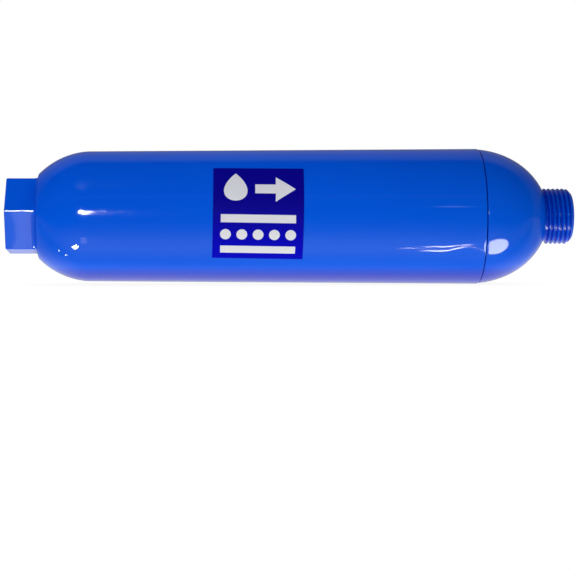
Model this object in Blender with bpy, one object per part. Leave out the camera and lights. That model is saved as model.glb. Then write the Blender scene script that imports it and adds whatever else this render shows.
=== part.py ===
"""Inline water filter for a caravan's fresh water hose.

A moulded housing carries the female hose thread in its hexagonal inlet boss. It holds a bed of
copper-zinc granules and a bed of granular carbon between felt pads. A sprung plate keeps the beds
packed, and the outlet cap, which carries the male hose thread, is welded on behind it.

The filter lies along X, and water runs towards +X. Angles around it are measured from straight
up towards the label, which faces -Y. Sizes are in millimetres, and MM turns them into metres.
"""
import math

import bmesh
import bpy

MM = 0.001
GAP = 0.3                     # between pieces that touch
PAST = 1.0                    # how far a cutter reaches past the wall that it cuts

# Outer shape
FILTER_LENGTH = 272.0
INLET_X = -FILTER_LENGTH / 2
OUTLET_X = FILTER_LENGTH / 2
SIDES = 48                    # columns around a round piece
COLUMN = math.tau / SIDES
INLET_RADIUS = 31.27          # where the inlet dome meets the tube
SEAM_RADIUS = 32.83           # the moulding's draft widens the tube up to the weld
SEAM_X = 90.3
AXIS_HEIGHT = SEAM_RADIUS * math.cos(COLUMN / 2)
WALL = 3.2
DOME_X = -96.5
DOME_REACH = 33.76
DOME_POWER = 1.873            # 2 is an ellipse, less is more pointed
CAP_X = 87.28
CAP_REACH = 37.71
CAP_RADIUS = 32.675
CAP_POWER = 2.0
CAP_STEPS = 9
SEAM_CHAMFER = 0.45

# Garden hose thread, 3/4-11.5, with the external and internal radii of its crests and roots
PITCH = 25.4 / 11.5
MALE_CREST = 13.49
MALE_ROOT = 12.06
FEMALE_ROOT = 13.62
FEMALE_CREST = 12.19
CREST_WIDTH = 0.125           # in pitches
THREAD_FADE = 0.12            # turns over which a thread runs out

# Inlet boss and its socket
HEX_FLATS = 34.0
HEX_CORNER = math.radians(22.5)
HEX_ROUNDING = math.radians(1.35)
HEX_CHAMFER = 0.6
HEX_ROOT_X = -122.8
BOSS_FILLET_X = -121.4
FILLET_HEX_SHARE = 0.6        # the fillet's middle ring lies this much nearer the hexagon
DOME_START_X = -120.7
DOME_STEPS = 7
SOCKET_MOUTH_RADIUS = 14.1
SOCKET_THREAD_X = -135.5
SOCKET_TURNS = 3
SOCKET_FLOOR_X = -120.4
THROAT_RADIUS = 8.0
CHAMBER_FLOOR_X = -117.0
CHAMBER_RADIUS = 25.5
LEDGE_X = -94.0

# Outlet cap
SPIGOT_THREAD_X = 122.4
SPIGOT_TURNS = 5
SPIGOT_CHAMFER_X = 135.7
SPIGOT_END_RADIUS = 11.7
OUTLET_BORE = 8.5
OUTLET_BORE_CHAMFER = 0.5
TONGUE_END_X = 82.0
TONGUE_RADIUS = 29.2
TONGUE_BORE = 26.95
RIB_SEAT_X = 101.8
RIB_END_X = 118.5

# Ribs in both domes
RIBS = 6
RIB_THICKNESS = 2.0
RIB_INNER_RADIUS = 10.0
CAP_RIB_STEPS = 4
INTO_WALL = WALL / 2          # how deep a rib's root goes into the wall

# Strainer and hose washer in the socket
STRAINER_BORE = 8.6
SCREEN_RADIUS = 9.6
SCREEN_THICKNESS = 0.4
SCREEN_PITCH = 2.6
SCREEN_OPENING = 1.9
SCREEN_RIM_THICKNESS = 1.4
SCREEN_RIM_STEP = 0.9
SCREEN_RIM_RADIUS = 12.5
WASHER_THICKNESS = 2.9
WASHER_RADIUS = 12.9
WASHER_EDGE = 0.5

# Stack of pieces inside, in the order that the water meets them
LOOSE_FIT = 0.45              # from a plate or a bed to the tube
SLIDING_FIT = 0.6             # from a piece that rides with the sprung plate to the tube
GASKET_THICKNESS = 1.2
PLATE_THICKNESS = 3.0
NET_THICKNESS = 0.6
NET_PITCH = 8.6
NET_OPENING = 6.6
NET_MARGIN = 1.0
INLET_FELT_THICKNESS = 5.0
COPPER_ZINC_LENGTH = 22.0
DIVIDER_THICKNESS = 3.0
CARBON_LENGTH = 107.0
CARBON_FELT_THICKNESS = 3.0
SEDIMENT_PAD_THICKNESS = 12.0
PLATE_RIM_LENGTH = 8.0
PLATE_RIM_RADIUS = 28.3
PLATE_RIM_WALL = 2.3
PLATE_CENTRE_HOLE = 2.4
PLATE_HOLE = 2.4
INLET_PLATE_HOLES = ((9.0, 6), (19.0, 12))      # radius of each ring of holes, and its count
SPRUNG_PLATE_HOLES = ((8.5, 6), (22.0, 12))
HOLE_SIDES = 6

# Sprung plate: a groove for its wiper ring, a collar that centres the spring
GROOVE_START = 3.4
GROOVE_END = 5.4
GROOVE_RADIUS = 26.9
COLLAR_INNER = 13.4
COLLAR_OUTER = 15.4
COLLAR_HEIGHT = 3.2
WIPER_FIT = 0.4
SPRING_RADIUS = 17.2
SPRING_WIRE = 0.8             # radius of the wire
SPRING_ACTIVE_TURNS = 4
SPRING_POINTS_PER_TURN = 16
SEAT_THICKNESS = 1.2
SEAT_OUTER = 20.5

# Label
LABEL_START_X = -38.2
LABEL_END_X = 4.2
LABEL_TOP = math.radians(44.5)
LABEL_BOTTOM = math.radians(129.2)
LABEL_THICKNESS = 0.2
LABEL_COLUMNS = 12


def remove_everything():
    """Start from an empty scene."""
    for thing in list(bpy.data.objects):
        bpy.data.objects.remove(thing, do_unlink=True)


def tube_radius(x):
    """Outer radius of the drafted tube."""
    share = (x - DOME_X) / (SEAM_X - DOME_X)
    return INLET_RADIUS + share * (SEAM_RADIUS - INLET_RADIUS)


def bore_radius(x):
    """Inner radius of the tube."""
    return tube_radius(x) - WALL


def hex_radius(flats, angle):
    """Distance from the axis to a hexagon at this angle."""
    sector = math.tau / 6
    from_flat = (angle - HEX_CORNER) % sector - sector / 2
    return flats / 2 / math.cos(from_flat)


def dome_points(centre, reach, radius, power, start, steps):
    """Profile points of a dome, from the plane at start to its widest place at centre."""
    side = math.copysign(1.0, start - centre)
    first = math.acos((abs(start - centre) / reach) ** (power / 2))
    points = []
    for step in range(steps + 1):
        turn = first + (math.pi / 2 - first) * step / steps
        along = reach * math.cos(turn) ** (2 / power)
        out = radius * math.sin(turn) ** (2 / power)
        points.append((centre + side * along, out))
    return points


def dome_plane(centre, reach, radius, power, at_radius):
    """Distance along X from a dome's centre to where it has this radius."""
    return reach * (1 - (at_radius / radius) ** power) ** (1 / power)


class Turned:
    """A wall turned around the X axis, built ring by ring."""

    def __init__(self, extra_columns=()):
        regular = [(column + 0.5) * COLUMN for column in range(SIDES)]
        self.angles = sorted(regular + list(extra_columns))
        self.mesh = bmesh.new()
        self.first = None
        self.last = None
        self.last_x = None

    def point(self, x, radius, angle):
        """A vertex at this place along, out from and around the axis."""
        y = -radius * math.sin(angle)
        z = radius * math.cos(angle)
        return self.mesh.verts.new((x * MM, y * MM, z * MM))

    def circle(self, x, radius):
        """A ring of vertices. The radius is a number, or a function of the angle."""
        if callable(radius):
            return [self.point(x, radius(angle), angle) for angle in self.angles]
        return [self.point(x, radius, angle) for angle in self.angles]

    def bridge(self, one, other):
        """Faces between two rings."""
        for column in range(len(one)):
            following = (column + 1) % len(one)
            self.mesh.faces.new((one[column], one[following], other[following], other[column]))

    def ring(self, x, radius):
        """Carry the wall on to a ring."""
        new = self.circle(x, radius)
        if self.last:
            self.bridge(self.last, new)
        else:
            self.first = new
        self.last = new
        self.last_x = x

    def rings(self, points):
        """Carry the wall on along a profile of (x, radius) points."""
        for x, radius in points:
            self.ring(x, radius)

    def thread(self, start, turns, root, crest, next_x):
        """Carry the wall on over a right-hand thread to a ring of the root's radius at next_x.

        The rows of vertices follow the helix, three to a turn: the root and both edges of the
        crest. So the end of each row is the start of the row three further on.
        """
        new = self.circle(next_x, root)
        low, high = (self.last, new) if self.last_x < next_x else (new, self.last)
        places = (0.0, 0.5 - CREST_WIDTH / 2, 0.5 + CREST_WIDTH / 2)
        rows = 3 * turns
        columns = len(self.angles)
        grid = {}

        def vertex(row, column):
            if column == columns:
                return vertex(row + 3, 0)
            if (row, column) not in grid:
                angle = self.angles[column]
                travel = row // 3 + (angle - self.angles[0]) / math.tau
                fade = max(0.0, min(1.0, travel / THREAD_FADE, (turns - travel) / THREAD_FADE))
                rise = 0.0 if row % 3 == 0 else fade * (crest - root)
                x = start + PITCH * (travel + places[row % 3])
                grid[row, column] = self.point(x, root + rise, angle)
            return grid[row, column]

        for column in range(columns):
            following = (column + 1) % columns
            for row in range(rows):
                self.mesh.faces.new((vertex(row, column), vertex(row, column + 1),
                                     vertex(row + 1, column + 1), vertex(row + 1, column)))
            below = [low[column], low[following]]
            above = [high[following], high[column]]
            foot = [vertex(0, column + 1), vertex(0, column)]
            head = [vertex(rows, column), vertex(rows, column + 1)]
            if following == 0:
                foot = [vertex(row, 0) for row in range(4)]
                foot = [*foot, vertex(0, column)]
            if column == 0:
                above = [*above, *[vertex(rows + row, 0) for row in (3, 2, 1)]]
            self.mesh.faces.new(below + foot)
            self.mesh.faces.new(head + above)
        self.last = new
        self.last_x = next_x

    def close(self):
        """Join the last ring to the first, as on a piece with a bore."""
        self.bridge(self.last, self.first)
        return self.mesh

    def cap(self):
        """Close both ends with flat faces, as on a solid disc."""
        self.mesh.faces.new(self.first)
        self.mesh.faces.new(self.last)
        return self.mesh


def finish(name, colour, roughness, metallic=0.0):
    """A material with one Principled shader."""
    material = bpy.data.materials.new(name)
    material.use_nodes = True
    shader = material.node_tree.nodes["Principled BSDF"]
    shader.inputs["Base Color"].default_value = (*colour, 1.0)
    shader.inputs["Roughness"].default_value = roughness
    shader.inputs["Metallic"].default_value = metallic
    return material


def add_empty(name, x, parent=None):
    """An empty on the filter's axis."""
    empty = bpy.data.objects.new(name, None)
    bpy.context.scene.collection.objects.link(empty)
    empty.parent = parent
    empty.location = (x * MM, 0, 0 if parent else AXIS_HEIGHT * MM)
    return empty


def add_piece(name, mesh, material, parent):
    """Turn a bmesh into a named object on the filter's axis."""
    bmesh.ops.recalc_face_normals(mesh, faces=mesh.faces)
    data = bpy.data.meshes.new(name)
    mesh.to_mesh(data)
    mesh.free()
    data.shade_smooth()
    data.set_sharp_from_angle(angle=math.radians(28))
    if material:
        data.materials.append(material)
    piece = bpy.data.objects.new(name, data)
    bpy.context.scene.collection.objects.link(piece)
    piece.parent = parent
    return piece


def combine(piece, name, mesh, operation):
    """Cut a hidden shape from a piece, or join it on."""
    tool = add_piece(name, mesh, None, piece.parent)
    tool.hide_render = True
    tool.display_type = "WIRE"
    modifier = piece.modifiers.new(name, "BOOLEAN")
    modifier.operation = operation
    modifier.solver = "EXACT"
    modifier.object = tool


def rib_mesh(outline):
    """Radial ribs, whose outline is given by (x, radius) points."""
    mesh = bmesh.new()
    for number in range(RIBS):
        angle = math.tau * number / RIBS
        out = (-math.sin(angle), math.cos(angle))
        across = (-math.cos(angle), -math.sin(angle))
        sides = []
        for shift in (-RIB_THICKNESS / 2, RIB_THICKNESS / 2):
            side = []
            for x, radius in outline:
                y = radius * out[0] + shift * across[0]
                z = radius * out[1] + shift * across[1]
                side.append(mesh.verts.new((x * MM, y * MM, z * MM)))
            sides.append(side)
            mesh.faces.new(side)
        for corner in range(len(outline)):
            following = (corner + 1) % len(outline)
            mesh.faces.new((sides[0][corner], sides[0][following],
                            sides[1][following], sides[1][corner]))
    return mesh


def hole_mesh(rings, radius, start, end):
    """Round cutters along X. Each ring of holes is given by its radius and its count."""
    mesh = bmesh.new()
    for ring_radius, count in rings:
        for number in range(count):
            turn = math.tau * (number + 0.5) / count
            ends = []
            for x in (start, end):
                corners = []
                for side in range(HOLE_SIDES):
                    angle = math.tau * side / HOLE_SIDES
                    y = ring_radius * math.cos(turn) + radius * math.cos(angle)
                    z = ring_radius * math.sin(turn) + radius * math.sin(angle)
                    corners.append(mesh.verts.new((x * MM, y * MM, z * MM)))
                ends.append(corners)
                mesh.faces.new(corners)
            for side in range(HOLE_SIDES):
                following = (side + 1) % HOLE_SIDES
                mesh.faces.new((ends[0][side], ends[0][following],
                                ends[1][following], ends[1][side]))
    return mesh


def grid_mesh(reach, pitch, opening, start, end):
    """Square cutters along X, on a grid inside a circle of this reach."""
    mesh = bmesh.new()
    lines = int(reach // pitch)
    half = opening / 2
    for row in range(-lines, lines + 1):
        for column in range(-lines, lines + 1):
            y = row * pitch
            z = column * pitch
            if math.hypot(abs(y) + half, abs(z) + half) > reach:
                continue
            box = bmesh.ops.create_cube(mesh, size=1.0)
            for corner in box["verts"]:
                corner.co.x = ((start + end) / 2 + corner.co.x * (end - start)) * MM
                corner.co.y = (y + corner.co.y * opening) * MM
                corner.co.z = (z + corner.co.z * opening) * MM
    return mesh


def disc_mesh(start, end, start_radius, end_radius):
    """A solid disc or a solid tapered bed."""
    disc = Turned()
    disc.ring(start, start_radius)
    disc.ring(end, end_radius)
    return disc.cap()


def ring_mesh(start, end, inner, outer):
    """A flat ring."""
    ring = Turned()
    ring.rings([(start, inner), (start, outer), (end, outer), (end, inner)])
    return ring.close()


def make_housing(material, parent):
    """Tube, inlet dome and hexagonal boss in one moulding."""
    corner_columns = []
    for number in range(6):
        corner = HEX_CORNER + number * math.tau / 6
        corner_columns += [corner - HEX_ROUNDING, corner + HEX_ROUNDING]
    wall = Turned(corner_columns)

    dome = dome_points(DOME_X, DOME_REACH, INLET_RADIUS, DOME_POWER, DOME_START_X, DOME_STEPS)
    dome_share = (1 - FILLET_HEX_SHARE) * dome[0][1]
    wall.ring(INLET_X, SOCKET_MOUTH_RADIUS)
    wall.ring(INLET_X, lambda angle: hex_radius(HEX_FLATS - 2 * HEX_CHAMFER, angle))
    wall.ring(INLET_X + HEX_CHAMFER, lambda angle: hex_radius(HEX_FLATS, angle))
    wall.ring(HEX_ROOT_X, lambda angle: hex_radius(HEX_FLATS, angle))
    wall.ring(BOSS_FILLET_X,
              lambda angle: FILLET_HEX_SHARE * hex_radius(HEX_FLATS, angle) + dome_share)
    wall.rings(dome)
    wall.ring(SEAM_X - SEAM_CHAMFER, tube_radius(SEAM_X - SEAM_CHAMFER))
    wall.ring(SEAM_X, SEAM_RADIUS - SEAM_CHAMFER)

    inner_reach = DOME_REACH - WALL
    inner_radius = INLET_RADIUS - WALL
    shoulder = dome_plane(DOME_X, inner_reach, inner_radius, DOME_POWER, CHAMBER_RADIUS)
    chamber = dome_points(DOME_X, inner_reach, inner_radius, DOME_POWER, CHAMBER_FLOOR_X,
                          DOME_STEPS)
    chamber = [point for point in chamber if point[0] < DOME_X - shoulder]
    wall.ring(SEAM_X, bore_radius(SEAM_X))
    wall.ring(LEDGE_X, bore_radius(LEDGE_X))
    wall.ring(LEDGE_X, CHAMBER_RADIUS)
    wall.ring(DOME_X - shoulder, CHAMBER_RADIUS)
    wall.rings(reversed(chamber))
    wall.ring(CHAMBER_FLOOR_X, THROAT_RADIUS)
    wall.ring(SOCKET_FLOOR_X, THROAT_RADIUS)
    wall.ring(SOCKET_FLOOR_X, FEMALE_ROOT)
    relief = SOCKET_THREAD_X + PITCH * (SOCKET_TURNS + 1) + GAP
    wall.ring(relief, FEMALE_ROOT)
    wall.thread(SOCKET_THREAD_X, SOCKET_TURNS, FEMALE_ROOT, FEMALE_CREST, SOCKET_THREAD_X - GAP)
    housing = add_piece("housing_body", wall.close(), material, parent)

    plate_x = LEDGE_X + 2 * GAP + GASKET_THICKNESS
    rib_top = plate_x - GAP
    outline = [(rib_top, RIB_INNER_RADIUS), (rib_top, CHAMBER_RADIUS - GAP)]
    outline += [(LEDGE_X - GAP, CHAMBER_RADIUS - GAP), (LEDGE_X - GAP, CHAMBER_RADIUS + INTO_WALL)]
    outline += [(DOME_X - shoulder, CHAMBER_RADIUS + INTO_WALL)]
    outline += [(x, radius + INTO_WALL) for x, radius in reversed(chamber)]
    outline += [(CHAMBER_FLOOR_X - INTO_WALL, chamber[0][1] + INTO_WALL)]
    outline += [(CHAMBER_FLOOR_X - INTO_WALL, RIB_INNER_RADIUS)]
    combine(housing, "inlet_ribs", rib_mesh(outline), "UNION")


def make_cap(material, parent):
    """Outlet dome with its male spigot, and the tongue that is welded inside the tube."""
    wall = Turned()
    start = SEAM_X + GAP
    root_x = CAP_X + dome_plane(CAP_X, CAP_REACH, CAP_RADIUS, CAP_POWER, MALE_ROOT)
    dome = dome_points(CAP_X, CAP_REACH, CAP_RADIUS, CAP_POWER, root_x, CAP_STEPS)
    dome = [point for point in reversed(dome) if point[0] > start + 2 * SEAM_CHAMFER]
    edge_share = (start + SEAM_CHAMFER - CAP_X) / CAP_REACH
    edge_radius = CAP_RADIUS * math.sqrt(1 - edge_share ** 2)
    wall.ring(start, edge_radius - SEAM_CHAMFER)
    wall.ring(start + SEAM_CHAMFER, edge_radius)
    wall.rings(dome)
    wall.thread(SPIGOT_THREAD_X, SPIGOT_TURNS, MALE_ROOT, MALE_CREST, SPIGOT_CHAMFER_X)
    wall.ring(OUTLET_X, SPIGOT_END_RADIUS)

    inner_reach = CAP_REACH - WALL
    inner_radius = CAP_RADIUS - WALL
    bore_x = CAP_X + dome_plane(CAP_X, inner_reach, inner_radius, CAP_POWER, OUTLET_BORE)
    inner = dome_points(CAP_X, inner_reach, inner_radius, CAP_POWER, bore_x, CAP_STEPS)
    inner = [point for point in inner if point[1] < TONGUE_BORE]
    shoulder = dome_plane(CAP_X, inner_reach, inner_radius, CAP_POWER, TONGUE_BORE)
    wall.ring(OUTLET_X, OUTLET_BORE + OUTLET_BORE_CHAMFER)
    wall.ring(OUTLET_X - OUTLET_BORE_CHAMFER, OUTLET_BORE)
    wall.rings(inner)
    wall.ring(CAP_X + shoulder, TONGUE_BORE)
    wall.ring(TONGUE_END_X, TONGUE_BORE)
    wall.ring(TONGUE_END_X, TONGUE_RADIUS - SEAM_CHAMFER)
    wall.ring(TONGUE_END_X + 2 * SEAM_CHAMFER, TONGUE_RADIUS)
    wall.ring(start, TONGUE_RADIUS)
    cap = add_piece("outlet_cap", wall.close(), material, parent)

    outline = [(RIB_SEAT_X, RIB_INNER_RADIUS)]
    for step in range(CAP_RIB_STEPS + 1):
        x = RIB_SEAT_X + (RIB_END_X - RIB_SEAT_X) * step / CAP_RIB_STEPS
        share = (x - CAP_X) / (inner_reach + INTO_WALL)
        outline.append((x, (inner_radius + INTO_WALL) * math.sqrt(1 - share ** 2)))
    outline.append((RIB_END_X, RIB_INNER_RADIUS))
    combine(cap, "cap_ribs", rib_mesh(outline), "UNION")


def make_inlet_washer(rubber, steel, parent):
    """Hose washer, with the strainer and its rim under it."""
    rim_end = SOCKET_FLOOR_X - GAP
    rim_start = rim_end - SCREEN_RIM_THICKNESS
    step_x = rim_start + SCREEN_RIM_STEP
    rim = Turned()
    rim.rings([(rim_start, SCREEN_RADIUS + GAP), (rim_start, SCREEN_RIM_RADIUS)])
    rim.rings([(rim_end, SCREEN_RIM_RADIUS), (rim_end, STRAINER_BORE)])
    rim.rings([(step_x, STRAINER_BORE), (step_x, SCREEN_RADIUS + GAP)])
    add_piece("inlet_screen_rim", rim.close(), steel, parent)

    screen_end = step_x - GAP
    screen_start = screen_end - SCREEN_THICKNESS
    disc = disc_mesh(screen_start, screen_end, SCREEN_RADIUS, SCREEN_RADIUS)
    screen = add_piece("inlet_screen", disc, steel, parent)
    cutter = grid_mesh(SCREEN_RADIUS - SCREEN_THICKNESS, SCREEN_PITCH, SCREEN_OPENING,
                       screen_start - PAST, screen_end + PAST)
    combine(screen, "screen_openings", cutter, "DIFFERENCE")

    washer_end = rim_start - GAP
    washer_start = washer_end - WASHER_THICKNESS
    washer = Turned()
    washer.rings([(washer_end, STRAINER_BORE), (washer_start, STRAINER_BORE)])
    washer.ring(washer_start, WASHER_RADIUS - WASHER_EDGE)
    washer.ring(washer_start + WASHER_EDGE, WASHER_RADIUS)
    washer.ring(washer_end - WASHER_EDGE, WASHER_RADIUS)
    washer.ring(washer_end, WASHER_RADIUS - WASHER_EDGE)
    add_piece("hose_washer", washer.close(), rubber, parent)


def add_net(name, x, radius, material, parent):
    """A stiff extruded net, which keeps the granules out of the holes in a plate."""
    end = x + NET_THICKNESS
    net = add_piece(name, disc_mesh(x, end, radius, radius), material, parent)
    cutter = grid_mesh(radius - NET_MARGIN, NET_PITCH, NET_OPENING, x - PAST, end + PAST)
    combine(net, name + "_openings", cutter, "DIFFERENCE")
    return end + GAP


def make_beds(materials, parent):
    """Gasket, support plate, net, felts and both granular beds, up to the last fixed layer."""
    x = LEDGE_X + GAP
    gasket = ring_mesh(x, x + GASKET_THICKNESS, CHAMBER_RADIUS + GAP, bore_radius(x) - SLIDING_FIT)
    add_piece("inlet_gasket", gasket, materials["rubber"], parent)
    x += GASKET_THICKNESS + GAP

    radius = bore_radius(x) - LOOSE_FIT
    plate = ring_mesh(x, x + PLATE_THICKNESS, PLATE_CENTRE_HOLE, radius)
    plate = add_piece("inlet_plate", plate, materials["white plastic"], parent)
    holes = hole_mesh(INLET_PLATE_HOLES, PLATE_HOLE, x - PAST, x + PLATE_THICKNESS + PAST)
    combine(plate, "inlet_plate_holes", holes, "DIFFERENCE")
    x += PLATE_THICKNESS + GAP
    x = add_net("inlet_net", x, radius, materials["white plastic"], parent)

    layers = [
        ("inlet_felt", INLET_FELT_THICKNESS, "felt"),
        ("copper_zinc_bed", COPPER_ZINC_LENGTH, "copper-zinc"),
        ("divider_felt", DIVIDER_THICKNESS, "felt"),
        ("carbon_bed", CARBON_LENGTH, "carbon"),
    ]
    for name, thickness, finish_name in layers:
        start_radius = bore_radius(x) - LOOSE_FIT
        end_radius = bore_radius(x + thickness) - LOOSE_FIT
        layer = disc_mesh(x, x + thickness, start_radius, end_radius)
        add_piece(name, layer, materials[finish_name], parent)
        x += thickness + GAP
    return x


def make_sprung_stack(start, materials, parent):
    """Felts and net that ride with the sprung plate. Their places are measured from start."""
    slide = add_empty("bed_plate_slide", start, parent)
    radius = bore_radius(start) - SLIDING_FIT
    x = 0.0
    felt = disc_mesh(x, x + CARBON_FELT_THICKNESS, radius, radius)
    add_piece("carbon_felt", felt, materials["felt"], slide)
    x += CARBON_FELT_THICKNESS + GAP
    pad = disc_mesh(x, x + SEDIMENT_PAD_THICKNESS, radius, radius)
    add_piece("sediment_pad", pad, materials["fine felt"], slide)
    x += SEDIMENT_PAD_THICKNESS + GAP
    x = add_net("outlet_net", x, radius, materials["white plastic"], slide)

    web_end = x + PLATE_THICKNESS
    rim_end = x + PLATE_RIM_LENGTH
    rim_inner = PLATE_RIM_RADIUS - PLATE_RIM_WALL
    plate = Turned()
    plate.rings([(x, PLATE_CENTRE_HOLE), (x, PLATE_RIM_RADIUS)])
    plate.rings([(x + GROOVE_START, PLATE_RIM_RADIUS), (x + GROOVE_START, GROOVE_RADIUS)])
    plate.rings([(x + GROOVE_END, GROOVE_RADIUS), (x + GROOVE_END, PLATE_RIM_RADIUS)])
    plate.rings([(rim_end, PLATE_RIM_RADIUS), (rim_end, rim_inner), (web_end, rim_inner)])
    plate.rings([(web_end, COLLAR_OUTER), (web_end + COLLAR_HEIGHT, COLLAR_OUTER)])
    plate.rings([(web_end + COLLAR_HEIGHT, COLLAR_INNER), (web_end, COLLAR_INNER)])
    plate.ring(web_end, PLATE_CENTRE_HOLE)
    sprung = add_piece("sprung_plate", plate.close(), materials["white plastic"], slide)
    holes = hole_mesh(SPRUNG_PLATE_HOLES, PLATE_HOLE, x - PAST, web_end + PAST)
    combine(sprung, "sprung_plate_holes", holes, "DIFFERENCE")

    ring_start = x + GROOVE_START + GAP
    ring_end = x + GROOVE_END - GAP
    wiper = Turned()
    wiper_outer = bore_radius(start + x) - WIPER_FIT
    wiper_middle = (ring_start + ring_end) / 2
    wiper.rings([(ring_start, GROOVE_RADIUS + GAP), (ring_start, wiper_outer - GAP)])
    wiper.rings([(wiper_middle, wiper_outer), (ring_end, wiper_outer - GAP)])
    wiper.ring(ring_end, GROOVE_RADIUS + GAP)
    add_piece("wiper_ring", wiper.close(), materials["rubber"], slide)
    return start + web_end


def make_spring(plate_face, materials, parent):
    """Coil spring with closed ends, between the sprung plate and a seat on the cap's ribs."""
    seat_end = RIB_SEAT_X - GAP
    seat_start = seat_end - SEAT_THICKNESS
    collar_start = seat_start - COLLAR_HEIGHT / 2
    seat = Turned()
    seat.rings([(seat_end, COLLAR_INNER), (seat_end, SEAT_OUTER), (seat_start, SEAT_OUTER)])
    seat.rings([(seat_start, COLLAR_OUTER), (collar_start, COLLAR_OUTER)])
    seat.ring(collar_start, COLLAR_INNER)
    add_piece("spring_seat", seat.close(), materials["white plastic"], parent)

    first = plate_face + GAP + SPRING_WIRE
    last = seat_start - GAP - SPRING_WIRE
    closed_rise = 2 * SPRING_WIRE + GAP / 2
    pitch = (last - first - 2 * closed_rise) / SPRING_ACTIVE_TURNS
    turns = SPRING_ACTIVE_TURNS + 2
    curve = bpy.data.curves.new("bed_spring", "CURVE")
    curve.dimensions = "3D"
    curve.bevel_depth = SPRING_WIRE * MM
    curve.bevel_resolution = 1
    curve.use_fill_caps = True
    wire = curve.splines.new("POLY")
    count = turns * SPRING_POINTS_PER_TURN
    wire.points.add(count)
    for number in range(count + 1):
        turn = number / SPRING_POINTS_PER_TURN
        x = first + closed_rise * min(turn, 1.0)
        x += pitch * min(max(turn - 1.0, 0.0), SPRING_ACTIVE_TURNS)
        x += closed_rise * max(turn - 1.0 - SPRING_ACTIVE_TURNS, 0.0)
        y = SPRING_RADIUS * math.cos(math.tau * turn)
        z = SPRING_RADIUS * math.sin(math.tau * turn)
        wire.points[number].co = (x * MM, y * MM, z * MM, 1.0)
    curve.materials.append(materials["steel"])
    spring = bpy.data.objects.new("bed_spring", curve)
    bpy.context.scene.collection.objects.link(spring)
    spring.parent = parent


def make_label(material, parent):
    """A thin printed film, wrapped around the tube's front."""
    mesh = bmesh.new()
    faces = []
    for lift in (GAP, GAP + LABEL_THICKNESS):
        rows = []
        for x in (LABEL_START_X, LABEL_END_X):
            radius = tube_radius(x) + lift
            row = []
            for column in range(LABEL_COLUMNS + 1):
                angle = LABEL_TOP + (LABEL_BOTTOM - LABEL_TOP) * column / LABEL_COLUMNS
                y = -radius * math.sin(angle)
                z = radius * math.cos(angle)
                row.append(mesh.verts.new((x * MM, y * MM, z * MM)))
            rows.append(row)
        faces.append(rows)
    inside, outside = faces
    for rows in faces:
        for column in range(LABEL_COLUMNS):
            mesh.faces.new((rows[0][column], rows[0][column + 1],
                            rows[1][column + 1], rows[1][column]))
    for column in range(LABEL_COLUMNS):
        for end in (0, 1):
            mesh.faces.new((inside[end][column], inside[end][column + 1],
                            outside[end][column + 1], outside[end][column]))
    for edge in (0, LABEL_COLUMNS):
        mesh.faces.new((inside[0][edge], inside[1][edge], outside[1][edge], outside[0][edge]))
    add_piece("label_film", mesh, material, parent)


def main():
    """Build the filter."""
    remove_everything()
    materials = {
        "blue plastic": finish("blue plastic", (0.0, 0.075, 0.62), 0.16),
        "white plastic": finish("white plastic", (0.75, 0.75, 0.72), 0.4),
        "rubber": finish("rubber", (0.02, 0.02, 0.022), 0.6),
        "steel": finish("steel", (0.6, 0.6, 0.58), 0.3, 1.0),
        "felt": finish("felt", (0.8, 0.8, 0.76), 0.95),
        "fine felt": finish("fine felt", (0.86, 0.87, 0.88), 0.9),
        "copper-zinc": finish("copper-zinc", (0.55, 0.36, 0.14), 0.45, 1.0),
        "carbon": finish("carbon", (0.018, 0.018, 0.02), 0.7),
        "label": finish("label", (0.006, 0.03, 0.13), 0.35),
    }
    axis = add_empty("filter_axis", 0.0)
    make_housing(materials["blue plastic"], axis)
    make_cap(materials["blue plastic"], axis)
    make_inlet_washer(materials["rubber"], materials["steel"], axis)
    stack_start = make_beds(materials, axis)
    plate_face = make_sprung_stack(stack_start, materials, axis)
    make_spring(plate_face, materials, axis)
    make_label(materials["label"], axis)


main()
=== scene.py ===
"""Looks of the inline water filter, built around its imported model.

Sizes are in millimetres unless a name says otherwise, and MM turns them into metres. The filter
lies along X with its inlet at -X. Angles around it run from straight up towards the label,
which faces -Y.
"""
import math

import bpy
import numpy as np
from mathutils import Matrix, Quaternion, Vector


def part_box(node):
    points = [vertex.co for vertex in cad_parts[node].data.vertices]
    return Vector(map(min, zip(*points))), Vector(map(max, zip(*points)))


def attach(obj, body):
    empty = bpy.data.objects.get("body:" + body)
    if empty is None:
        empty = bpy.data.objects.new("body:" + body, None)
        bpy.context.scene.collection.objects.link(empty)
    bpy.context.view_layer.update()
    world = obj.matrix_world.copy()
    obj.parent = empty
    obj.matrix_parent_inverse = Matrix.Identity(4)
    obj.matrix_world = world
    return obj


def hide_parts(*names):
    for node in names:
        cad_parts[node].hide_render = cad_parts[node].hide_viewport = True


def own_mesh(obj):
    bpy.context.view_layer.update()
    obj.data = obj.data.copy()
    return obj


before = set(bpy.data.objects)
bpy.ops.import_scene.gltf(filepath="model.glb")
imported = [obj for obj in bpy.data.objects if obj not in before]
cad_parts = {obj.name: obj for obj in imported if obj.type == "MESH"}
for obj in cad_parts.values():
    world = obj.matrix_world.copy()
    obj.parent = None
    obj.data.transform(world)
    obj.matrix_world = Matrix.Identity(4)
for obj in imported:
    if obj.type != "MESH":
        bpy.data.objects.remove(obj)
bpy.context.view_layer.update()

MM = 0.001


# ---------------------------------------------------------------- places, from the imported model

def span(node):
    """Start and end of a node along the filter, and its largest radius."""
    low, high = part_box(node)
    return low.x / MM, high.x / MM, (high.z - low.z) / 2 / MM


INLET_X, SEAM_X, SEAM_RADIUS = span("housing_body")
CAP_END_X = span("outlet_cap")[1]
AXIS_HEIGHT = (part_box("housing_body")[0].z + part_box("housing_body")[1].z) / 2 / MM
LABEL_START_X, LABEL_END_X, _ = span("label_film")

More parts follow.
